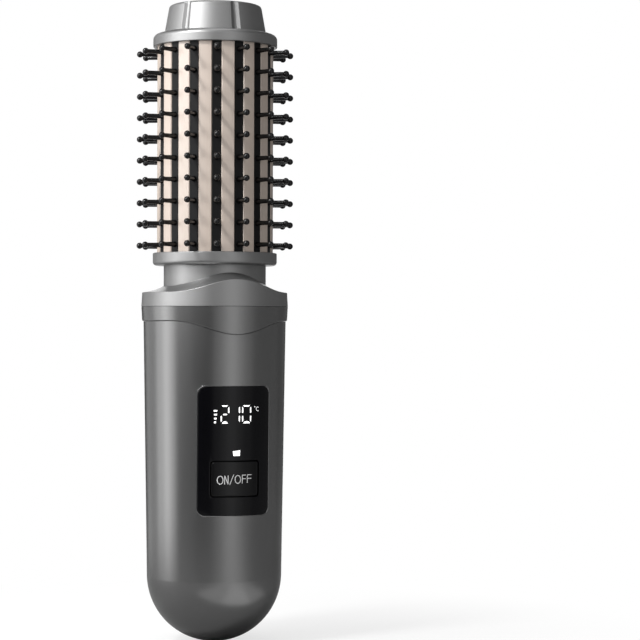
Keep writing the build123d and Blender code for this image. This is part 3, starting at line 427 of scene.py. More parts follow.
# Finishes of what the closed shell holds, by the record's material slot
HIDDEN_FINISHES: dict[str, Finish] = {
    # Split mica sheet: pale, waxy, with large soft clouds
    "insulation": Finish("mica_sheet_split", "C9C0A2", "AFA484", 0.45, grain_mm=3.0),
    # Heater stones in yellow polyimide film: glossy amber
    "ceramic_heater": Finish("polyimide_film_wrapped", "C08A36", "A87424", 0.3, ior=1.7, grain_mm=2.0),
    # Cold-rolled spring steel: bright, with fine lines along the strip
    "spring_steel": Finish("spring_steel_rolled", "B9BABC", "9FA0A2", 0.3, 1.0, grain_mm=0.3),
    # Epoxy bead: black and slightly uneven
    "sensor_body": Finish("black_epoxy_dipped", "1A1A1A", "101010", 0.4, grain_mm=0.6),
    # Tinned brass can of the fuse: pale yellow metal
    "fuse_metal": Finish("brass_can_drawn", "CDB27A", "B99C60", 0.35, 1.0, grain_mm=0.4),
    # Zinc-plated steel: grey with bluish clouds
    "screw_steel": Finish("zinc_plated_steel", "A9ADB2", "8F9398", 0.35, 1.0, grain_mm=0.4),
    # Moulded ABS of the switch and chips: black and dull
    "switch_plastic": Finish("black_abs_moulded", "1C1C1D", "141415", 0.5, grain_mm=0.3),
    # White epoxy of the display and the light: milky
    "led_plastic": Finish("white_epoxy_cast", "E8E8E4", "DCDCD6", 0.4, grain_mm=1.0),
    # Clear polycarbonate: bright and glossy
    "light_guide_clear": Finish("polycarbonate_moulded", "E4E8EA", "D8DCDE", 0.12, ior=1.59, grain_mm=1.0),
    # Solder mask on glass-filled epoxy: green with the weave showing faintly
    "circuit_board": Finish("green_solder_mask_screened", "1F6A3C", "18552F", 0.35, grain_mm=0.6),
    # Moulded ABS of the chassis: dark grey with the mould's fine spark texture
    "chassis_plastic": Finish("dark_abs_moulded", "38383B", "2E2E31", 0.5, grain_mm=0.3),
    # Shrink wrap over the cells: thin glossy blue film
    "cell_wrap": Finish("pvc_shrink_wrap", "2C5F7C", "24506A", 0.28, ior=1.53, grain_mm=2.0),
    # Nickel strip: warm grey metal
    "nickel": Finish("nickel_strip_rolled", "B8B2A6", "A39D90", 0.3, 1.0, grain_mm=0.3),
    # Closed-cell foam: dull black with open pores
    "foam": Finish("pe_foam_cut", "202022", "121213", 0.9, grain_mm=0.5, bump_mm=0.05),
    # Stainless sheet of the socket: bright, with fine drawing lines
    "socket_steel": Finish("stainless_sheet_drawn", "BFC0C2", "A8A9AB", 0.25, 1.0, grain_mm=0.2),
    # Silicone insulation: dull dark red
    "wire_silicone": Finish("silicone_extruded", "9A2A24", "84211C", 0.55, grain_mm=0.8),
}


# ---- head
@dataclass
class TipCap:
    """The cool tip: a tapered cap with shallow flared grooves down its side."""

    top_radius: float = 15.1
    base_radius: float = 16.8
    rim_round: float = 1.1
    wall: float = 2.0
    spigot_radius: float = 10.4
    spigot_wall: float = 1.4
    grooves: int = 6
    groove_depth: float = 0.8
    groove_foot: float = 3.36
    groove_top: float = 2.82
    first_groove: float = 6.0
    flat_edge: float = 2.2
    land_steps: int = 14
    # Places in half a groove, from its edge at 1, with the depth there as a part of the deepest
    groove_places: tuple[Point, ...] = ((1.0, 0.0), (0.94, 0.03), (0.88, 0.13), (0.32, 0.9), (0.18, 1.0))

    def build(self, material: Material) -> Object:
        """Moulds the cap.

        Args:
            material: its finish.

        Returns:
            The cap, which stands for the solid cap.
        """
        low, high = box_mm("tip_cap")
        foot = box_mm("top_ring")[1].z
        top = high.z
        roof = top - self.wall
        outline = filleted(
            [
                (0.0, top, 0),
                (self.top_radius - self.flat_edge, top, 0),
                (self.top_radius, top, self.rim_round),
                (self.base_radius, foot, 0),
                (self.base_radius - self.wall, foot, 0),
                (self.top_radius - self.wall, roof, 0),
                (self.spigot_radius, roof, 0),
                (self.spigot_radius, low.z, 0),
                (self.spigot_radius - self.spigot_wall, low.z, 0),
                (self.spigot_radius - self.spigot_wall, roof, 0),
                (0.0, roof, 0),
            ],
            steps=CURVE_STEPS,
        )
        spots = [(-place, depth, 0.0) for place, depth in self.groove_places]
        spots += [(place, depth, 0.0) for place, depth in reversed(self.groove_places)]
        spots += [(1.0, 0.0, step / self.land_steps) for step in range(1, self.land_steps)]
        slices = []
        for groove in range(self.grooves):
            middle = self.first_groove + 360 / self.grooves * groove
            slices += [self.slice_at(outline, (foot, top), middle, spot) for spot in spots]
        mould = Mould()
        mould.skin(slices)
        piece = mould.cast("cap_skin", material, "shell_paint")
        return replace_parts(piece, "tip_cap")

    def slice_at(
        self,
        outline: Sequence[Point],
        ends: Point,
        middle: float,
        spot: tuple[float, float, float],
    ) -> list[Vector]:
        """One slice of the cap, across a groove or on the land after it.

        Args:
            outline: the cap's closed profile.
            ends: heights of the cap's foot and top.
            middle: azimuth of the groove.
            spot: place across the groove from -1 to 1, share of its depth there, and share of the
                way along the land towards the next groove.

        Returns:
            The points of the slice.
        """
        foot, top = ends
        place, depth, land_share = spot
        pitch = 360 / self.grooves
        points = []
        for radius, height in outline:
            level = min(max((height - foot) / (top - foot), 0.0), 1.0)
            side = self.base_radius + (self.top_radius - self.base_radius) * level
            width = self.groove_foot + (self.groove_top - self.groove_foot) * level
            half = math.degrees(width / 2 / side)
            azimuth = middle + half * place + land_share * (pitch - 2 * half)
            outside = radius > side - self.wall / 2 and height >= foot
            reach = min(radius, side - self.groove_depth * depth) if outside else radius
            points.append(on_circle(reach, azimuth, height))
        return points


@dataclass
class BarrelRings:
    """The two rings that close the ends of the barrel."""

    radius: float = 20.4
    recess_radius: float = 19.2
    recess: float = 2.0
    top_bore: float = 10.5
    low_bore: float = 9.4
    top_round: float = 1.7
    low_round: float = 1.2
    edge_break: float = 0.3
    bore_break: float = 0.2
    steps: int = 160

    def build(self, material: Material) -> list[Object]:
        """Turns both rings.

        Args:
            material: their finish.

        Returns:
            The two rings, which stand for the solid ones.
        """
        top = self.ring("top_ring", 1, self.top_bore, self.top_round, material)
        lower = self.ring("lower_ring", -1, self.low_bore, self.low_round, material)
        return [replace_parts(top, "top_ring"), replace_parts(lower, "lower_ring")]

    def ring(self, node: str, up: int, bore: float, rim_round: float, material: Material) -> Object:
        """Turns one ring with a recess for the barrel.

        Args:
            node: the solid ring.
            up: 1 for a ring over the barrel and -1 for one under it.
            bore: radius of the hole in the middle.
            rim_round: rounding of the outer corner away from the barrel.
            material: the ring's finish.

        Returns:
            The ring.
        """
        mouth, back = [corner.z for corner in box_mm(node)][::up]
        inward = self.recess * up
        profile = filleted(
            [
                (bore, back, self.bore_break),
                (self.radius, back, rim_round),
                (self.radius, mouth, self.edge_break),
                (self.recess_radius, mouth, 0),
                (self.recess_radius, mouth + inward, 0),
                (bore, mouth + inward, 0),
            ],
            steps=CURVE_STEPS,
        )
        mould = Mould()
        mould.turn(profile, self.steps)
        return mould.cast(f"{node}_skin", material, "shell_paint")


@dataclass
class BristleStrips:
    """The slide-in strips with their rows of ball-tipped pins."""

    count: int = 16
    first_row: float = 6.0
    pins: int = 10
    lowest_pin: float = 129.8
    pin_pitch: float = 6.99
    root_radius: float = 16.98
    face_radius: float = 18.85
    root_width: float = 4.0
    width: float = 2.9
    edge_round: float = 0.25
    tip_radius: float = 25.75
    foot_radius: float = 0.98
    shaft_radius: float = 0.8
    neck_radius: float = 0.68
    ball_radius: float = 1.04
    foot_depth: float = 0.3
    foot_edge: float = 0.05
    foot_height: float = 0.4
    shaft_height: float = 2.4
    pins_beyond: float = 18.95
    ball_steps: int = 10
    pin_steps: int = 20

    def pin_profile(self) -> list[Point]:
        """Draws the closed profile of a pin.

        Returns:
            Points as distance from the pin's axis and distance from the brush's axis.
        """
        face = self.face_radius
        foot = face - self.foot_depth
        ball = self.tip_radius - self.ball_radius
        join = math.asin(self.neck_radius / self.ball_radius)
        arc = [join + (math.pi - join) * step / self.ball_steps for step in range(self.ball_steps + 1)]
        round_ball = [(self.ball_radius * math.sin(t), ball - self.ball_radius * math.cos(t)) for t in arc]
        base = [
            (0.0, foot),
            (self.foot_radius, foot),
            (self.foot_radius, face + self.foot_edge),
            (self.shaft_radius, face + self.foot_height),
            ((self.shaft_radius + self.neck_radius) / 2, face + self.shaft_height),
        ]
        return [*base, *round_ball]

    def build(self, strip: Material, pin: Material) -> list[Object]:
        """Moulds all the strips.

        Args:
            strip: finish of the strips.
            pin: finish of the pins.

        Returns:
            One piece for each solid strip, standing for it.
        """
        low, high = box_mm("bristle_strip_01")
        rail = filleted(
            [
                (-self.root_width / 2, -self.root_radius, 0),
                (-self.width / 2, -self.face_radius, self.edge_round),
                (self.width / 2, -self.face_radius, self.edge_round),
                (self.root_width / 2, -self.root_radius, 0),
            ],
            steps=4,
        )
        lying = Matrix.Rotation(math.radians(90), 4, "X")
        pieces = []
        for row in range(self.count):
            mould = Mould()
            mould.skin([[Vector((x, y, z)) for x, y in rail] for z in (low.z, high.z)], ring=False)
            for level in range(self.pins):
                height = self.lowest_pin + level * self.pin_pitch
                mould.turn(self.pin_profile(), self.pin_steps, Matrix.Translation((0, 0, height)) @ lying)
            azimuth = self.first_row + 360 / self.count * row
            mould.mesh.transform(Matrix.Rotation(math.radians(azimuth), 4, "Z"))
            piece = mould.cast(f"bristle_row_{row + 1:02d}", strip, "bristle_nylon")
            piece.data.materials.append(pin)
            for face in piece.data.polygons:
                face.material_index = int(face.center.xy.length > self.pins_beyond * MM)
            pieces.append(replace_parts(piece, f"bristle_strip_{row + 1:02d}"))
        return pieces


# ---- collar
@dataclass
class WaveCollar:
    """The collar between handle and neck, with a wavy skirt and a concave, wavy shoulder."""

    radius: float = 24.1
    lean: float = 0.26
    dip: float = 4.4
    upper_band: float = 4.6
    rise: float = 3.95
    neck_rise: float = 4.5
    shoulder_rise: float = 1.8
    shoulder_slope: float = 0.35
    neck_radius: float = 16.9
    bore: float = 22.5
    roof: float = 2.2
    reach: float = 0.81
    edge_round: float = 0.22
    lip_round: float = 0.45
    groove: float = 0.14
    seam: float = 0.18
    rim_band: float = 0.6
    steps: int = 288
    shoulder_steps: int = 18
    base: float = field(init=False)
    edge: float = field(init=False)
    crease: float = field(init=False)

    def __post_init__(self) -> None:
        """Takes the heights of the edges from the solid collar."""
        low, high = box_mm("wave_collar")
        self.base = low.z + self.dip - self.seam
        self.edge = high.z - self.neck_rise - self.shoulder_rise
        self.crease = self.edge - self.upper_band

    def wave(self, x: float) -> float:
        """Height of the wave at a distance sideways from the front or the back, from 0 to 1."""
        half = self.reach * self.radius
        return (1 + math.cos(math.pi * x / half)) / 2 if abs(x) < half else 0.0

    def shoulder(self, radius: float, azimuth: float) -> float:
        """Works out the height of the shoulder.

        Args:
            radius: distance from the brush's axis.
            azimuth: where round the axis, in degrees.

        Returns:
            The height.
        """
        inward = (self.radius**2 - radius**2) / (self.radius**2 - self.neck_radius**2)
        concave = self.shoulder_slope * inward + (1 - self.shoulder_slope) * inward**2
        swell = self.rise + (self.neck_rise - self.rise) * concave
        sideways = radius * math.sin(math.radians(azimuth))
        return self.edge + self.shoulder_rise * concave + swell * self.wave(sideways)

    def slice_at(self, azimuth: float) -> list[Vector]:
        """The closed profile of the collar at an azimuth.

        Args:
            azimuth: where the slice is cut, in degrees.

        Returns:
            The points of the slice.
        """
        side = self.radius - self.lean
        low = self.base - self.dip * self.wave(side * math.sin(math.radians(azimuth)))
        reach = side - self.rim_band - self.neck_radius
        steps = self.shoulder_steps
        inner = [self.neck_radius + reach * step / steps for step in range(steps + 1)]
        roof = self.edge - self.roof
        profile = filleted(
            [
                (self.bore, low, 0),
                (side, low, self.lip_round),
                (self.radius, self.crease - self.groove / 2, 0),
                (self.radius - self.groove, self.crease, 0),
                (self.radius, self.crease + self.groove / 2, 0),
                (side, self.shoulder(side, azimuth), self.edge_round),
                *[(radius, self.shoulder(radius, azimuth), 0) for radius in reversed(inner)],
                (self.neck_radius, roof, 0),
                (self.bore, roof, 0),
            ],
            steps=4,
        )
        return [on_circle(radius, azimuth, height) for radius, height in profile]

    def build(self, skirt: Material, crown: Material) -> Object:
        """Moulds the collar.

        Args:
            skirt: finish below the crease.
            crown: finish above it, the lighter copy of the paint whose colour is painted light.

        Returns:
            The collar, which stands for the solid one.
        """
        mould = Mould()
        mould.skin([self.slice_at(360 * step / self.steps) for step in range(self.steps)])
        piece = mould.cast("collar_skin", skirt, "shell_paint")
        piece.data.materials.append(crown)
        # Faces above the crease take the crown's finish, a lighter copy of the paint: painted light.
        for face in piece.data.polygons:
            face.material_index = int(face.center.z > self.crease * MM)
        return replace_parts(piece, "wave_collar")


# ---- control panel
# Corners of a digit's segments at the top, upper right, bottom and middle: side of the digit, from 0
# at the left to 1 at the right, distance from that side, and height over the digit's middle
SEGMENTS = {
    "a": ((0, 0.38, 2.9), (1, -0.48, 2.9), (1, -0.9, 2.46), (0, 0.72, 2.46)),
    "b": ((1, -0.44, 0.62), (1, -0.22, 0.43), (1, 0, 0.62), (1, -0.08, 2.42), (1, -0.44, 2.04)),
    "d": ((0, 0.42, -2.9), (1, -0.47, -2.9), (1, -0.78, -2.38), (0.5, 0, -2.16), (0, 0.78, -2.38)),
    "g": ((0, 0.68, 0), (0, 1, 0.22), (1, -1, 0.22), (1, -0.68, 0), (1, -1, -0.22), (0, 1, -0.22)),
}
# Segments that mirror the upper right one: whether sideways, and whether upside down
MIRRORED = {"c": (False, True), "e": (True, True), "f": (True, False)}
# Strokes of the printed letters, in shares of their width and height
STROKES = {
    "N": (((0, 0), (0, 1)), ((0, 1), (1, 0)), ((1, 0), (1, 1))),
    "F": (((0, 0), (0, 1)), ((0, 0.957), (1, 0.957)), ((0, 0.537), (0.93, 0.537))),
    "/": (((0, 0), (1, 1)),),
}


@dataclass(frozen=True)
class Plate:
    """A rounded rectangle on the handle's face, with the height of its middle and a corner radius."""

    width: float
    height: float
    middle: float
    corner: float
    least_corner: float = 0.3

    def outline(self, depth: float, inset: float) -> list[Vector]:
        """Draws the rectangle, still flat.

        Args:
            depth: how far it lies under the face.
            inset: how far it is drawn in on all sides.

        Returns:
            Its points.
        """
        half_x = self.width / 2 - inset
        half_z = self.height / 2 - inset
        radius = max(self.corner - inset, self.least_corner)
        corners = [(x * half_x, self.middle + z * half_z, radius) for x, z in SQUARE]
        return [Vector((x, -depth, z)) for x, z in filleted(corners, steps=CURVE_STEPS)]


@dataclass
class ControlPanel:
    """The smoked lens and the push button, with lit figures, a small mark and the printed word."""

    dome_radius: float = 22.1
    top_radius: float = 23.4
    top_height: float = 105.2
    lens_plate: Plate = Plate(24.0, 41.3, 63.45, 2.5)
    lens_depth: float = 1.2
    button_plate: Plate = Plate(15.9, 11.2, 54.5, 1.0)
    button_gap: float = 0.25
    flange: tuple[float, float] = (2.25, 3.45)
    lip: float = 0.8
    post_radius: float = 1.8
    edge_round: float = 0.2
    button_round: float = 0.6
    bead: float = 0.2
    bead_offset: float = 1.25
    bead_steps: int = 10
    post_short: float = 0.1
    proud: float = 0.03
    sunk: float = 0.03
    cut: float = 0.4
    digit_middle: float = 75.18
    ink: float = 0.24
    slash_ink: float = 0.192
    bar_lean: float = 0.1
    arc_steps: int = 28
    # Places across an eased edge, as shares of its size: inwards from the side, and under the face
    eased: tuple[Point, ...] = ((0.0, 1.0), (0.3, 0.3), (1.0, 0.0))
    # Digits of the temperature: left side, right side and lit segments
    digits: tuple[tuple[float, float, str], ...] = (
        (-5.21, -2.4, "abged"),
        (-1.6, 1.17, "bc"),
        (1.82, 5.12, "abcdef"),
    )
    # Arcs of the unit: centre, half size, first and last angle, width
    unit: tuple[tuple[Point, Point, Point, float], ...] = (
        ((6.42, 77.5), (0.13, 0.14), (0, 360), 0.1),
        ((7.5, 76.8), (0.54, 0.64), (50, 310), 0.11),
    )
    # Charge bars: left, right, lower and upper edge
    bars: tuple[tuple[float, float, float, float], ...] = (
        (-7.3, -6.2, 76.12, 76.6),
        (-7.2, -6.27, 74.9, 75.38),
        (-7.2, -6.42, 73.62, 74.12),
        (-7.18, -6.58, 72.38, 72.95),
    )
    mark: tuple[Point, ...] = ((-1.2, 63.4), (1.28, 63.66), (1.16, 61.9), (-0.95, 61.88))
    # Letters of the printed word: left, right, foot and top
    word: tuple[tuple[str, float, float, float, float], ...] = (
        ("O", -6.24, -4.16, 52.8, 55.6),
        ("N", -3.78, -2.66, 52.85, 55.65),
        ("/", -2.14, -0.8, 52.7, 55.95),
        ("O", -0.5, 1.6, 52.98, 55.75),
        ("F", 2.08, 3.4, 53.06, 55.82),
        ("F", 3.86, 5.4, 53.14, 55.88),
    )

    def radius_at(self, height: float) -> float:
        """Radius of the handle's tapered face at a height."""
        slope = (self.top_radius - self.dome_radius) / (self.top_height - self.dome_radius)
        return self.dome_radius + slope * (height - self.dome_radius)

    def on_face(self, point: Vector) -> Vector:
        """Takes a flat point, with Y counting outwards, to its place on the handle's face."""
        radius = self.radius_at(point.z) + point.y
        return Vector((point.x, -math.sqrt(radius**2 - point.x**2), point.z))

    def bent(self, outlines: Sequence[Sequence[Vector]], ring: bool = True) -> Mould:
        """Skins flat outlines and bends the shell onto the handle's face.

        Args:
            outlines: the outlines of the shell in their order.
            ring: as Mould.skin takes it.

        Returns:
            The mould with the bent shell.
        """
        mould = Mould()
        mould.skin(outlines, ring=ring)
        mould.wrap(self.on_face, self.cut)
        return mould

    def lens(self, material: Material) -> Object:
        """Moulds the lens with its opening for the button and its rounded edges.

        Args:
            material: its finish.

        Returns:
            The lens, which stands for the solid one.
        """
        inside, gap = self.button_plate, self.button_gap
        hole = Plate(inside.width + 2 * gap, inside.height + 2 * gap, inside.middle, inside.corner)
        rounding = [(self.edge_round * inset, self.edge_round * depth) for inset, depth in self.eased]
        side = [(0.0, self.lens_depth), *rounding]
        outer = [self.lens_plate.outline(depth, inset) for inset, depth in side]
        inner = [hole.outline(depth, -inset) for inset, depth in reversed(side)]
        mould = self.bent([list(points) for points in zip(*outer, *inner)])
        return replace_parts(mould.cast("smoked_lens", material, "lens_gloss"), "display_lens")

    def button(self, material: Material) -> Object:
        """Moulds the button with its rounded front edge, its flange behind the wall and its post.

        Args:
            material: its finish.

        Returns:
            The button, which stands for the solid one.
        """
        near, far = self.flange
        layers = [(self.button_round * inset, self.button_round * depth) for inset, depth in self.eased[::-1]]
        layers += [(0.0, near), (-self.lip, near), (-self.lip, far)]
        outlines = [self.button_plate.outline(depth, inset) for inset, depth in layers]
        middle = self.button_plate.middle
        tip = self.radius_at(middle) + box_mm("power_button")[1].y - self.post_short
        for depth in (far, tip):
            post = []
            for corner in outlines[0]:
                away = Vector((corner.x, 0, corner.z - middle)).normalized() * self.post_radius
                post.append(Vector((away.x, -depth, away.z + middle)))
            outlines.append(post)
        mould = self.bent(outlines, ring=False)
        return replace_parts(mould.cast("button_cap", material, "button_gloss", BUTTON), "power_button")

    def rim(self, material: Material) -> Object:
        """Rounds the painted edge of the recess that the lens lies in.

        Args:
            material: the handle's paint.

        Returns:
            The edge as a thin bead, flush with the handle.
        """
        rings = []
        for step in range(self.bead_steps):
            turn = math.tau * step / self.bead_steps
            inset = self.bead * (math.cos(turn) - self.bead_offset)
            rings.append(self.lens_plate.outline(self.bead * (1 - math.sin(turn)), inset))
        mould = self.bent([list(points) for points in zip(*rings)])
        return mould.cast("lens_recess_edge", material, "shell_paint")

    def raised(self, mould: Mould, outline: Sequence[Point]) -> None:
        """Adds a flat raised shape to a mould.

        Args:
            mould: where it goes.
            outline: its corners, as x and height.
        """
        levels = (-self.sunk, self.proud)
        mould.skin([[Vector((x, y, z)) for x, z in outline] for y in levels], ring=False)

    def line(self, mould: Mould, start: Point, end: Point, width: float) -> None:
        """Adds a straight stroke.

        Args:
            mould: where it goes.
            start: one end.
            end: the other end.
            width: how wide it is.
        """
        first, last = Vector(start), Vector(end)
        side = (last - first).normalized().orthogonal() * (width / 2)
        self.raised(mould, [tuple(p) for p in (first + side, last + side, last - side, first - side)])

    def arc(self, mould: Mould, centre: Point, size: Point, span: Point, width: float) -> None:
        """Adds an arc of an upright ellipse as a band of even width.

        Args:
            mould: where it goes.
            centre: the ellipse's centre.
            size: its half width and half height, to the middle of the band.
            span: first and last angle in degrees, counted from +X.
            width: how wide the band is.
        """
        turn_by = (span[1] - span[0]) / self.arc_steps
        angles = [math.radians(span[0] + turn_by * step) for step in range(self.arc_steps + 1)]
        for first, last in zip(angles, angles[1:]):
            corners = []
            for turn, offset in ((first, 1), (last, 1), (last, -1), (first, -1)):
                reach_x = size[0] + offset * width / 2
                reach_z = size[1] + offset * width / 2
                corners.append((centre[0] + reach_x * math.cos(turn), centre[1] + reach_z * math.sin(turn)))
            self.raised(mould, corners)

    def digit(self, mould: Mould, left: float, right: float, segments: str) -> None:
        """Adds the lit segments of one seven-segment digit.

        Args:
            mould: where they go.
            left: the digit's left side.
            right: its right side.
            segments: letters of the lit segments, a at the top and then clockwise, g in the middle.
        """
        for letter in segments:
            sideways, upside_down = MIRRORED.get(letter, (False, False))
            outline = []
            for side, offset, rise in SEGMENTS["b" if letter in MIRRORED else letter]:
                x = left + (right - left) * side + offset
                x = left + right - x if sideways else x
                outline.append((x, self.digit_middle + (-rise if upside_down else rise)))
            self.raised(mould, outline)

    def lit(self, material: Material) -> Object:
        """Makes the lit figures: charge bars, temperature, its unit and the small mark.

        Args:
            material: the glow of a lit segment.

        Returns:
            The figures as one piece.
        """
        mould = Mould()
        for left, right, low, high in self.bars:
            self.raised(mould, [(left, low), (right - self.bar_lean, low), (right, high), (left, high)])
        for left, right, segments in self.digits:
            self.digit(mould, left, right, segments)
        for centre, size, angles, width in self.unit:
            self.arc(mould, centre, size, angles, width)
        self.raised(mould, self.mark)
        mould.wrap(self.on_face, self.cut)
        return mould.cast("display_figures", material, "led_plastic")

    def printed(self, material: Material) -> Object:
        """Prints ON/OFF on the button.

        Args:
            material: the ink.

        Returns:
            The word, which moves with the button.
        """
        mould = Mould()
        for letter, left, right, low, high in self.word:
            width, height = right - left, high - low
            if letter == "O":
                middle = (left + width / 2, low + height / 2)
                size = ((width - self.ink) / 2, (height - self.ink) / 2)
                self.arc(mould, middle, size, (0, 360), self.ink)
                continue
            for stroke in STROKES[letter]:
                start, end = [(left + width * x, low + height * z) for x, z in stroke]
                self.line(mould, start, end, self.slash_ink if letter == "/" else self.ink)
        mould.wrap(self.on_face, self.cut)
        return mould.cast("button_word", material, "button_gloss", BUTTON)


# ---- dressing of the solids
@dataclass
class SolidFinishes:
    """Gives every solid of the frame that stays in view, or inside, its own finish."""

    shown: dict[str, Material]
    by_slot: dict[str, Material]

    def dress(self) -> int:
        """Puts the finishes on.

        Returns:
            How many solids were dressed.
        """
        slots = {row["node"]: row["material_slot"] for row in frame["record"]["subparts"]}
        for name, solid in frame["nodes"].items():
            solid.data.materials.clear()
            solid.data.materials.append(self.shown.get(name) or self.by_slot[slots[name]])
        return len(frame["nodes"])


# ---- studio
class LampFace(Enum):
    """Which way a softbox looks."""

    LEVEL = "level, towards the long axis of the brush"
    DOWN = "straight down"
    UP = "straight up, from the floor"


@dataclass(frozen=True)
class Softbox:
    """One softbox. Its azimuth counts from the camera, positive to the viewer's right.

    Distances and sizes are in metres. The height is that of its middle, the reach is its size away
    from the floor or, where it looks up or down, away from the brush.
    """

    name: str
    azimuth: float
    distance: float
    height: float
    width: float
    reach: float
    radiance: float
    face: LampFace = LampFace.LEVEL

    def place(self, camera_azimuth: float) -> None:
        """Hangs the softbox, with its power worked out from its radiance and its area.

        Args:
            camera_azimuth: where the camera stands.
        """
        lamp = bpy.data.lights.new(self.name, "AREA")
        lamp.shape = "RECTANGLE"
        lamp.size = self.width
        lamp.size_y = self.reach
        lamp.energy = self.radiance * math.pi * self.width * self.reach
        holder = new_object(self.name, lamp)
        azimuth = camera_azimuth + self.azimuth
        holder.location = on_circle(self.distance, azimuth, self.height)
        tilt = {LampFace.LEVEL: 90, LampFace.DOWN: 0, LampFace.UP: 180}[self.face]
        spin = Matrix.Rotation(math.radians(azimuth), 3, "Z") @ Matrix.Rotation(math.radians(tilt), 3, "X")
        holder.rotation_euler = spin.to_euler()
        holder.visible_camera = False


@dataclass
class Studio:
    """Camera, softboxes, surroundings and the floor that the brush stands on."""

    camera_azimuth: float = -18.0
    camera_distance: float = 0.724
    camera_height: float = 0.1017
    field_of_view: float = 16.59
    turn_right: float = 2.747
    tilt_up: float = 0.303
    roll: float = 0.125
    wall_distance: float = 0.25
    wall_middle: float = 0.181
    wall_reach: float = 0.358
    floor_panel_height: float = 0.0015
    room: str = WHITE
    room_strength: float = 0.07
    sheet_half_angle: float = 14.0
    sheet_rise: float = 20.0
    floor_size: float = 6.0
    floor_grey: str = "949494"
    floor_white: str = "F4F4F4"
    floor_roughness: float = 0.9
    shade_share: float = 0.3
    shade_ends: Point = (0.05, 0.17)

    def camera(self) -> None:
        """Sets up the camera, with the brush standing left of the middle of its view."""
        data = bpy.data.cameras.new("camera")
        data.sensor_fit = "HORIZONTAL"
        data.angle = math.radians(self.field_of_view)
        camera = new_object("camera", data)
        camera.location = on_circle(self.camera_distance, self.camera_azimuth, self.camera_height)
        turn = Matrix.Rotation(math.radians(self.camera_azimuth - self.turn_right), 3, "Z")
        tilt = Matrix.Rotation(math.radians(90 + self.tilt_up), 3, "X")
        roll = Matrix.Rotation(math.radians(self.roll), 3, "Z")
        camera.rotation_euler = (turn @ tilt @ roll).to_euler()
        bpy.context.scene.camera = camera

    def wall(self, name: str, azimuth: float, width: float, radiance: float, near: float = 0.0) -> Softbox:
        """A tall softbox that stands beside the whole brush.

        Args:
            name: its name.
            azimuth: where it stands, from the camera.
            width: its width.
            radiance: how bright its face is.
            near: how much nearer it stands than the others.

        Returns:
            The softbox.
        """
        distance = self.wall_distance - near
        return Softbox(name, azimuth, distance, self.wall_middle, width, self.wall_reach, radiance)

    def panel(
        self, name: str, azimuth: float, distance: float, width: float, reach: float, radiance: float
    ) -> Softbox:
        """A softbox that lies on the floor and looks up, placed and sized as any other."""
        height = self.floor_panel_height
        return Softbox(name, azimuth, distance, height, width, reach, radiance, LampFace.UP)

    def lamps(self) -> list[Softbox]:
        """The softboxes round the brush.

        Returns:
            Each softbox with its place, size and radiance.
        """
        return [
            # The head's key: two tall boxes at the left whose feet end above the handle, and a small
            # high one that draws the shadows of the pins
            Softbox("key_left", -62, 0.28, 0.265, 0.182, 0.27, 3.3),
            Softbox("key_front", -30, 0.28, 0.265, 0.161, 0.27, 1.8),
            Softbox("key_high", -48, 0.38, 0.485, 0.1, 0.1, 90.0),
            Softbox("top_box", 0, 0.10, 0.756, 0.5, 0.5, 1.6, LampFace.DOWN),
            # The handle's bright left band: a strip in front of a wider wall
            self.wall("left_strip", -81, 0.046, 1.3, near=0.03),
            self.wall("left_wide", -84, 0.160, 1.65, near=0.03),
            self.wall("left_wall", -122, 0.178, 0.63, near=0.03),
            self.wall("left_front", -48, 0.125, 0.16),
            # The soft fill in front, in three nested boxes
            self.wall("fill_wide", 30, 0.312, 0.41),
            self.wall("fill_middle", 28, 0.162, 0.32),
            self.wall("fill_core", 27, 0.070, 0.4),
            Softbox("front_high", 15, 0.33, 0.46, 0.3, 0.2, 0.6),
            # Quiet light on the right and on the back
            self.wall("right_box", 92, 0.28, 0.18),
            self.wall("back_right", 140, 0.16, 0.1),
            self.wall("back_box", 180, 0.14, 1.2),
            # Panels on the floor that the round end mirrors
            self.panel("floor_wide", 30, 0.115, 0.09, 0.17, 0.42),
            self.panel("floor_core", 33, 0.066, 0.026, 0.068, 0.32),
            self.panel("floor_left", -80, 0.09, 0.04, 0.12, 0.05),
        ]

    def surroundings(self) -> None:
        """Makes the world: white to the eye, a quiet grey room as a light.

        Gloss and glass also see white where the sheet behind the brush hangs.
        """
        world = bpy.data.worlds.new("studio")
        bpy.context.scene.world = world
        world.use_nodes = True
        tree = world.node_tree
        tree.nodes.clear()
        rays = add_node(tree, "ShaderNodeLightPath").outputs
        view = add_node(tree, "ShaderNodeTexCoord").outputs["Generated"]
        away = -on_circle(1.0, self.camera_azimuth, 0.0)
        rise = math.radians(self.sheet_rise)
        sheet = away * math.cos(rise) + Vector((0, 0, math.sin(rise)))
        behind = add_node(tree, "ShaderNodeVectorMath", {"operation": "DOT_PRODUCT", 1: sheet}, {0: view})
        limit = {"operation": "GREATER_THAN", 1: math.cos(math.radians(self.sheet_half_angle))}
        window = add_node(tree, "ShaderNodeMath", limit, {0: behind.outputs["Value"]})
        larger = {"operation": "MAXIMUM"}
        bent = {0: rays["Is Glossy Ray"], 1: rays["Is Transmission Ray"]}
        mirrored = add_node(tree, "ShaderNodeMath", larger, bent)
        both = {0: mirrored.outputs[0], 1: window.outputs[0]}
        glimpse = add_node(tree, "ShaderNodeMath", {"operation": "MULTIPLY"}, both)
        either = {0: rays["Is Camera Ray"], 1: glimpse.outputs[0]}
        white_share = add_node(tree, "ShaderNodeMath", larger, either)
        light = {"Color": linear(self.room), "Strength": self.room_strength}
        room = add_node(tree, "ShaderNodeBackground", light)
        white = add_node(tree, "ShaderNodeBackground", {"Color": linear(WHITE), "Strength": 1.0})
        sides = {0: white_share.outputs[0], 1: room.outputs[0], 2: white.outputs[0]}
        seen = add_node(tree, "ShaderNodeMixShader", links=sides)
        add_node(tree, "ShaderNodeOutputWorld", links={"Surface": seen.outputs[0]})

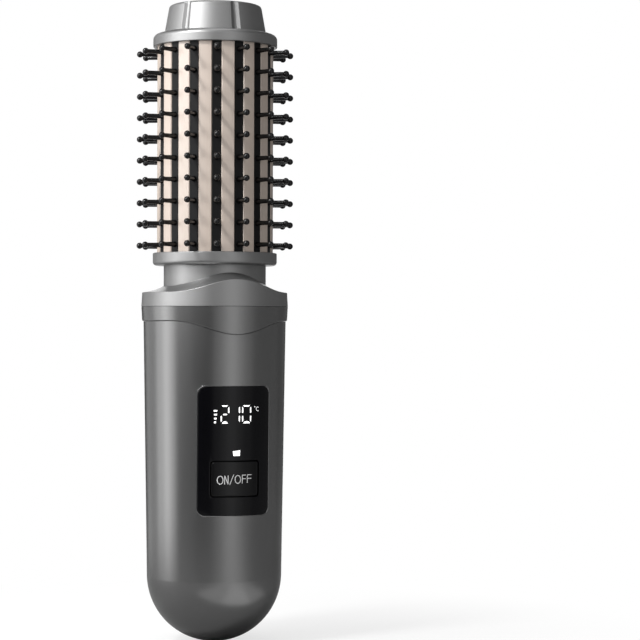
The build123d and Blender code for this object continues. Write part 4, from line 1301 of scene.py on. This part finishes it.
    def floor(self) -> None:
        """Lays the floor: grey as a light, white to the eye, with the shadow round the round end."""
        half = self.floor_size / 2
        data = bpy.data.meshes.new("floor")
        data.from_pydata([(x * half, y * half, 0) for x, y in SQUARE], [], [(0, 1, 2, 3)])
        new_object("floor", data)
        material, tree, shader = new_material("white_studio_floor")
        eye = add_node(tree, "ShaderNodeLightPath").outputs["Is Camera Ray"]
        tones = {"data_type": "RGBA", "A": linear(self.floor_grey), "B": linear(self.floor_white)}
        colour = add_node(tree, "ShaderNodeMix", tones, {"Factor": eye})
        feed(shader, {"Roughness": self.floor_roughness}, {"Base Color": colour.outputs["Result"]})
        place = add_node(tree, "ShaderNodeTexCoord").outputs["Object"]
        away = add_node(tree, "ShaderNodeVectorMath", {"operation": "LENGTH"}, {0: place})
        near, far = self.shade_ends
        ramp = {
            "interpolation_type": "SMOOTHSTEP",
            "From Min": near,
            "From Max": far,
            "To Min": 1 - self.shade_share,
            "To Max": 1.0,
        }
        fade = add_node(tree, "ShaderNodeMapRange", ramp, {"Value": away.outputs["Value"]})
        both = {0: fade.outputs["Result"], 1: eye}
        share = add_node(tree, "ShaderNodeMath", {"operation": "MULTIPLY"}, both)
        white = add_node(tree, "ShaderNodeEmission", {"Color": linear(WHITE), "Strength": 1.0})
        sides = {0: share.outputs[0], 1: shader.outputs[0], 2: white.outputs[0]}
        seen = add_node(tree, "ShaderNodeMixShader", links=sides)
        feed(tree.nodes["Material Output"], links={"Surface": seen.outputs[0]})
        data.materials.append(material)

    def build(self) -> None:
        """Sets up the whole studio."""
        self.camera()
        for softbox in self.lamps():
            softbox.place(self.camera_azimuth)
        self.surroundings()
        self.floor()
        bpy.context.scene.view_settings.view_transform = "Standard"


# ---- the whole brush
def main() -> None:
    """Builds the studio and the brush, sub-assembly by sub-assembly."""
    logging.basicConfig(level=logging.INFO, format="%(name)s: %(message)s")
    Studio().build()
    satin = SATIN_PAINT.build()
    # A lighter copy of the paint for the neck, the rings and the collar's crown: its colour is painted light.
    lit_copy_paint = LIT_COPY_PAINT.build()
    nylon = STRIP_NYLON.build()
    by_slot = {slot: finish.build() for slot, finish in HIDDEN_FINISHES.items()}
    by_slot |= {
        "shell_paint": satin,
        "barrel_coating": CERAMIC_COAT.build(),
        "bristle_nylon": nylon,
        "lens_gloss": SMOKED_ACRYLIC.build(),
        "button_gloss": BUTTON_ABS.build(),
    }
    dressed = SolidFinishes({"neck_tube": lit_copy_paint}, by_slot).dress()
    log.info("dressed %d solids", dressed)
    panel = ControlPanel()
    made = [
        # The cap's lighter copy of the paint: painted light.
        TipCap().build(CAP_LIT_COPY_PAINT.build()),
        *BarrelRings().build(lit_copy_paint),
        *BristleStrips().build(nylon, PIN_NYLON.build()),
        WaveCollar().build(satin, lit_copy_paint),
        panel.lens(by_slot["lens_gloss"]),
        panel.rim(satin),
        panel.button(by_slot["button_gloss"]),
        panel.lit(LIT_WHITE.build()),
        panel.printed(PRINTED_INK.build()),
    ]
    for piece in made:
        log.info("%s: %d faces", piece.name, len(piece.data.polygons))


if __name__ == "__main__":
    main()
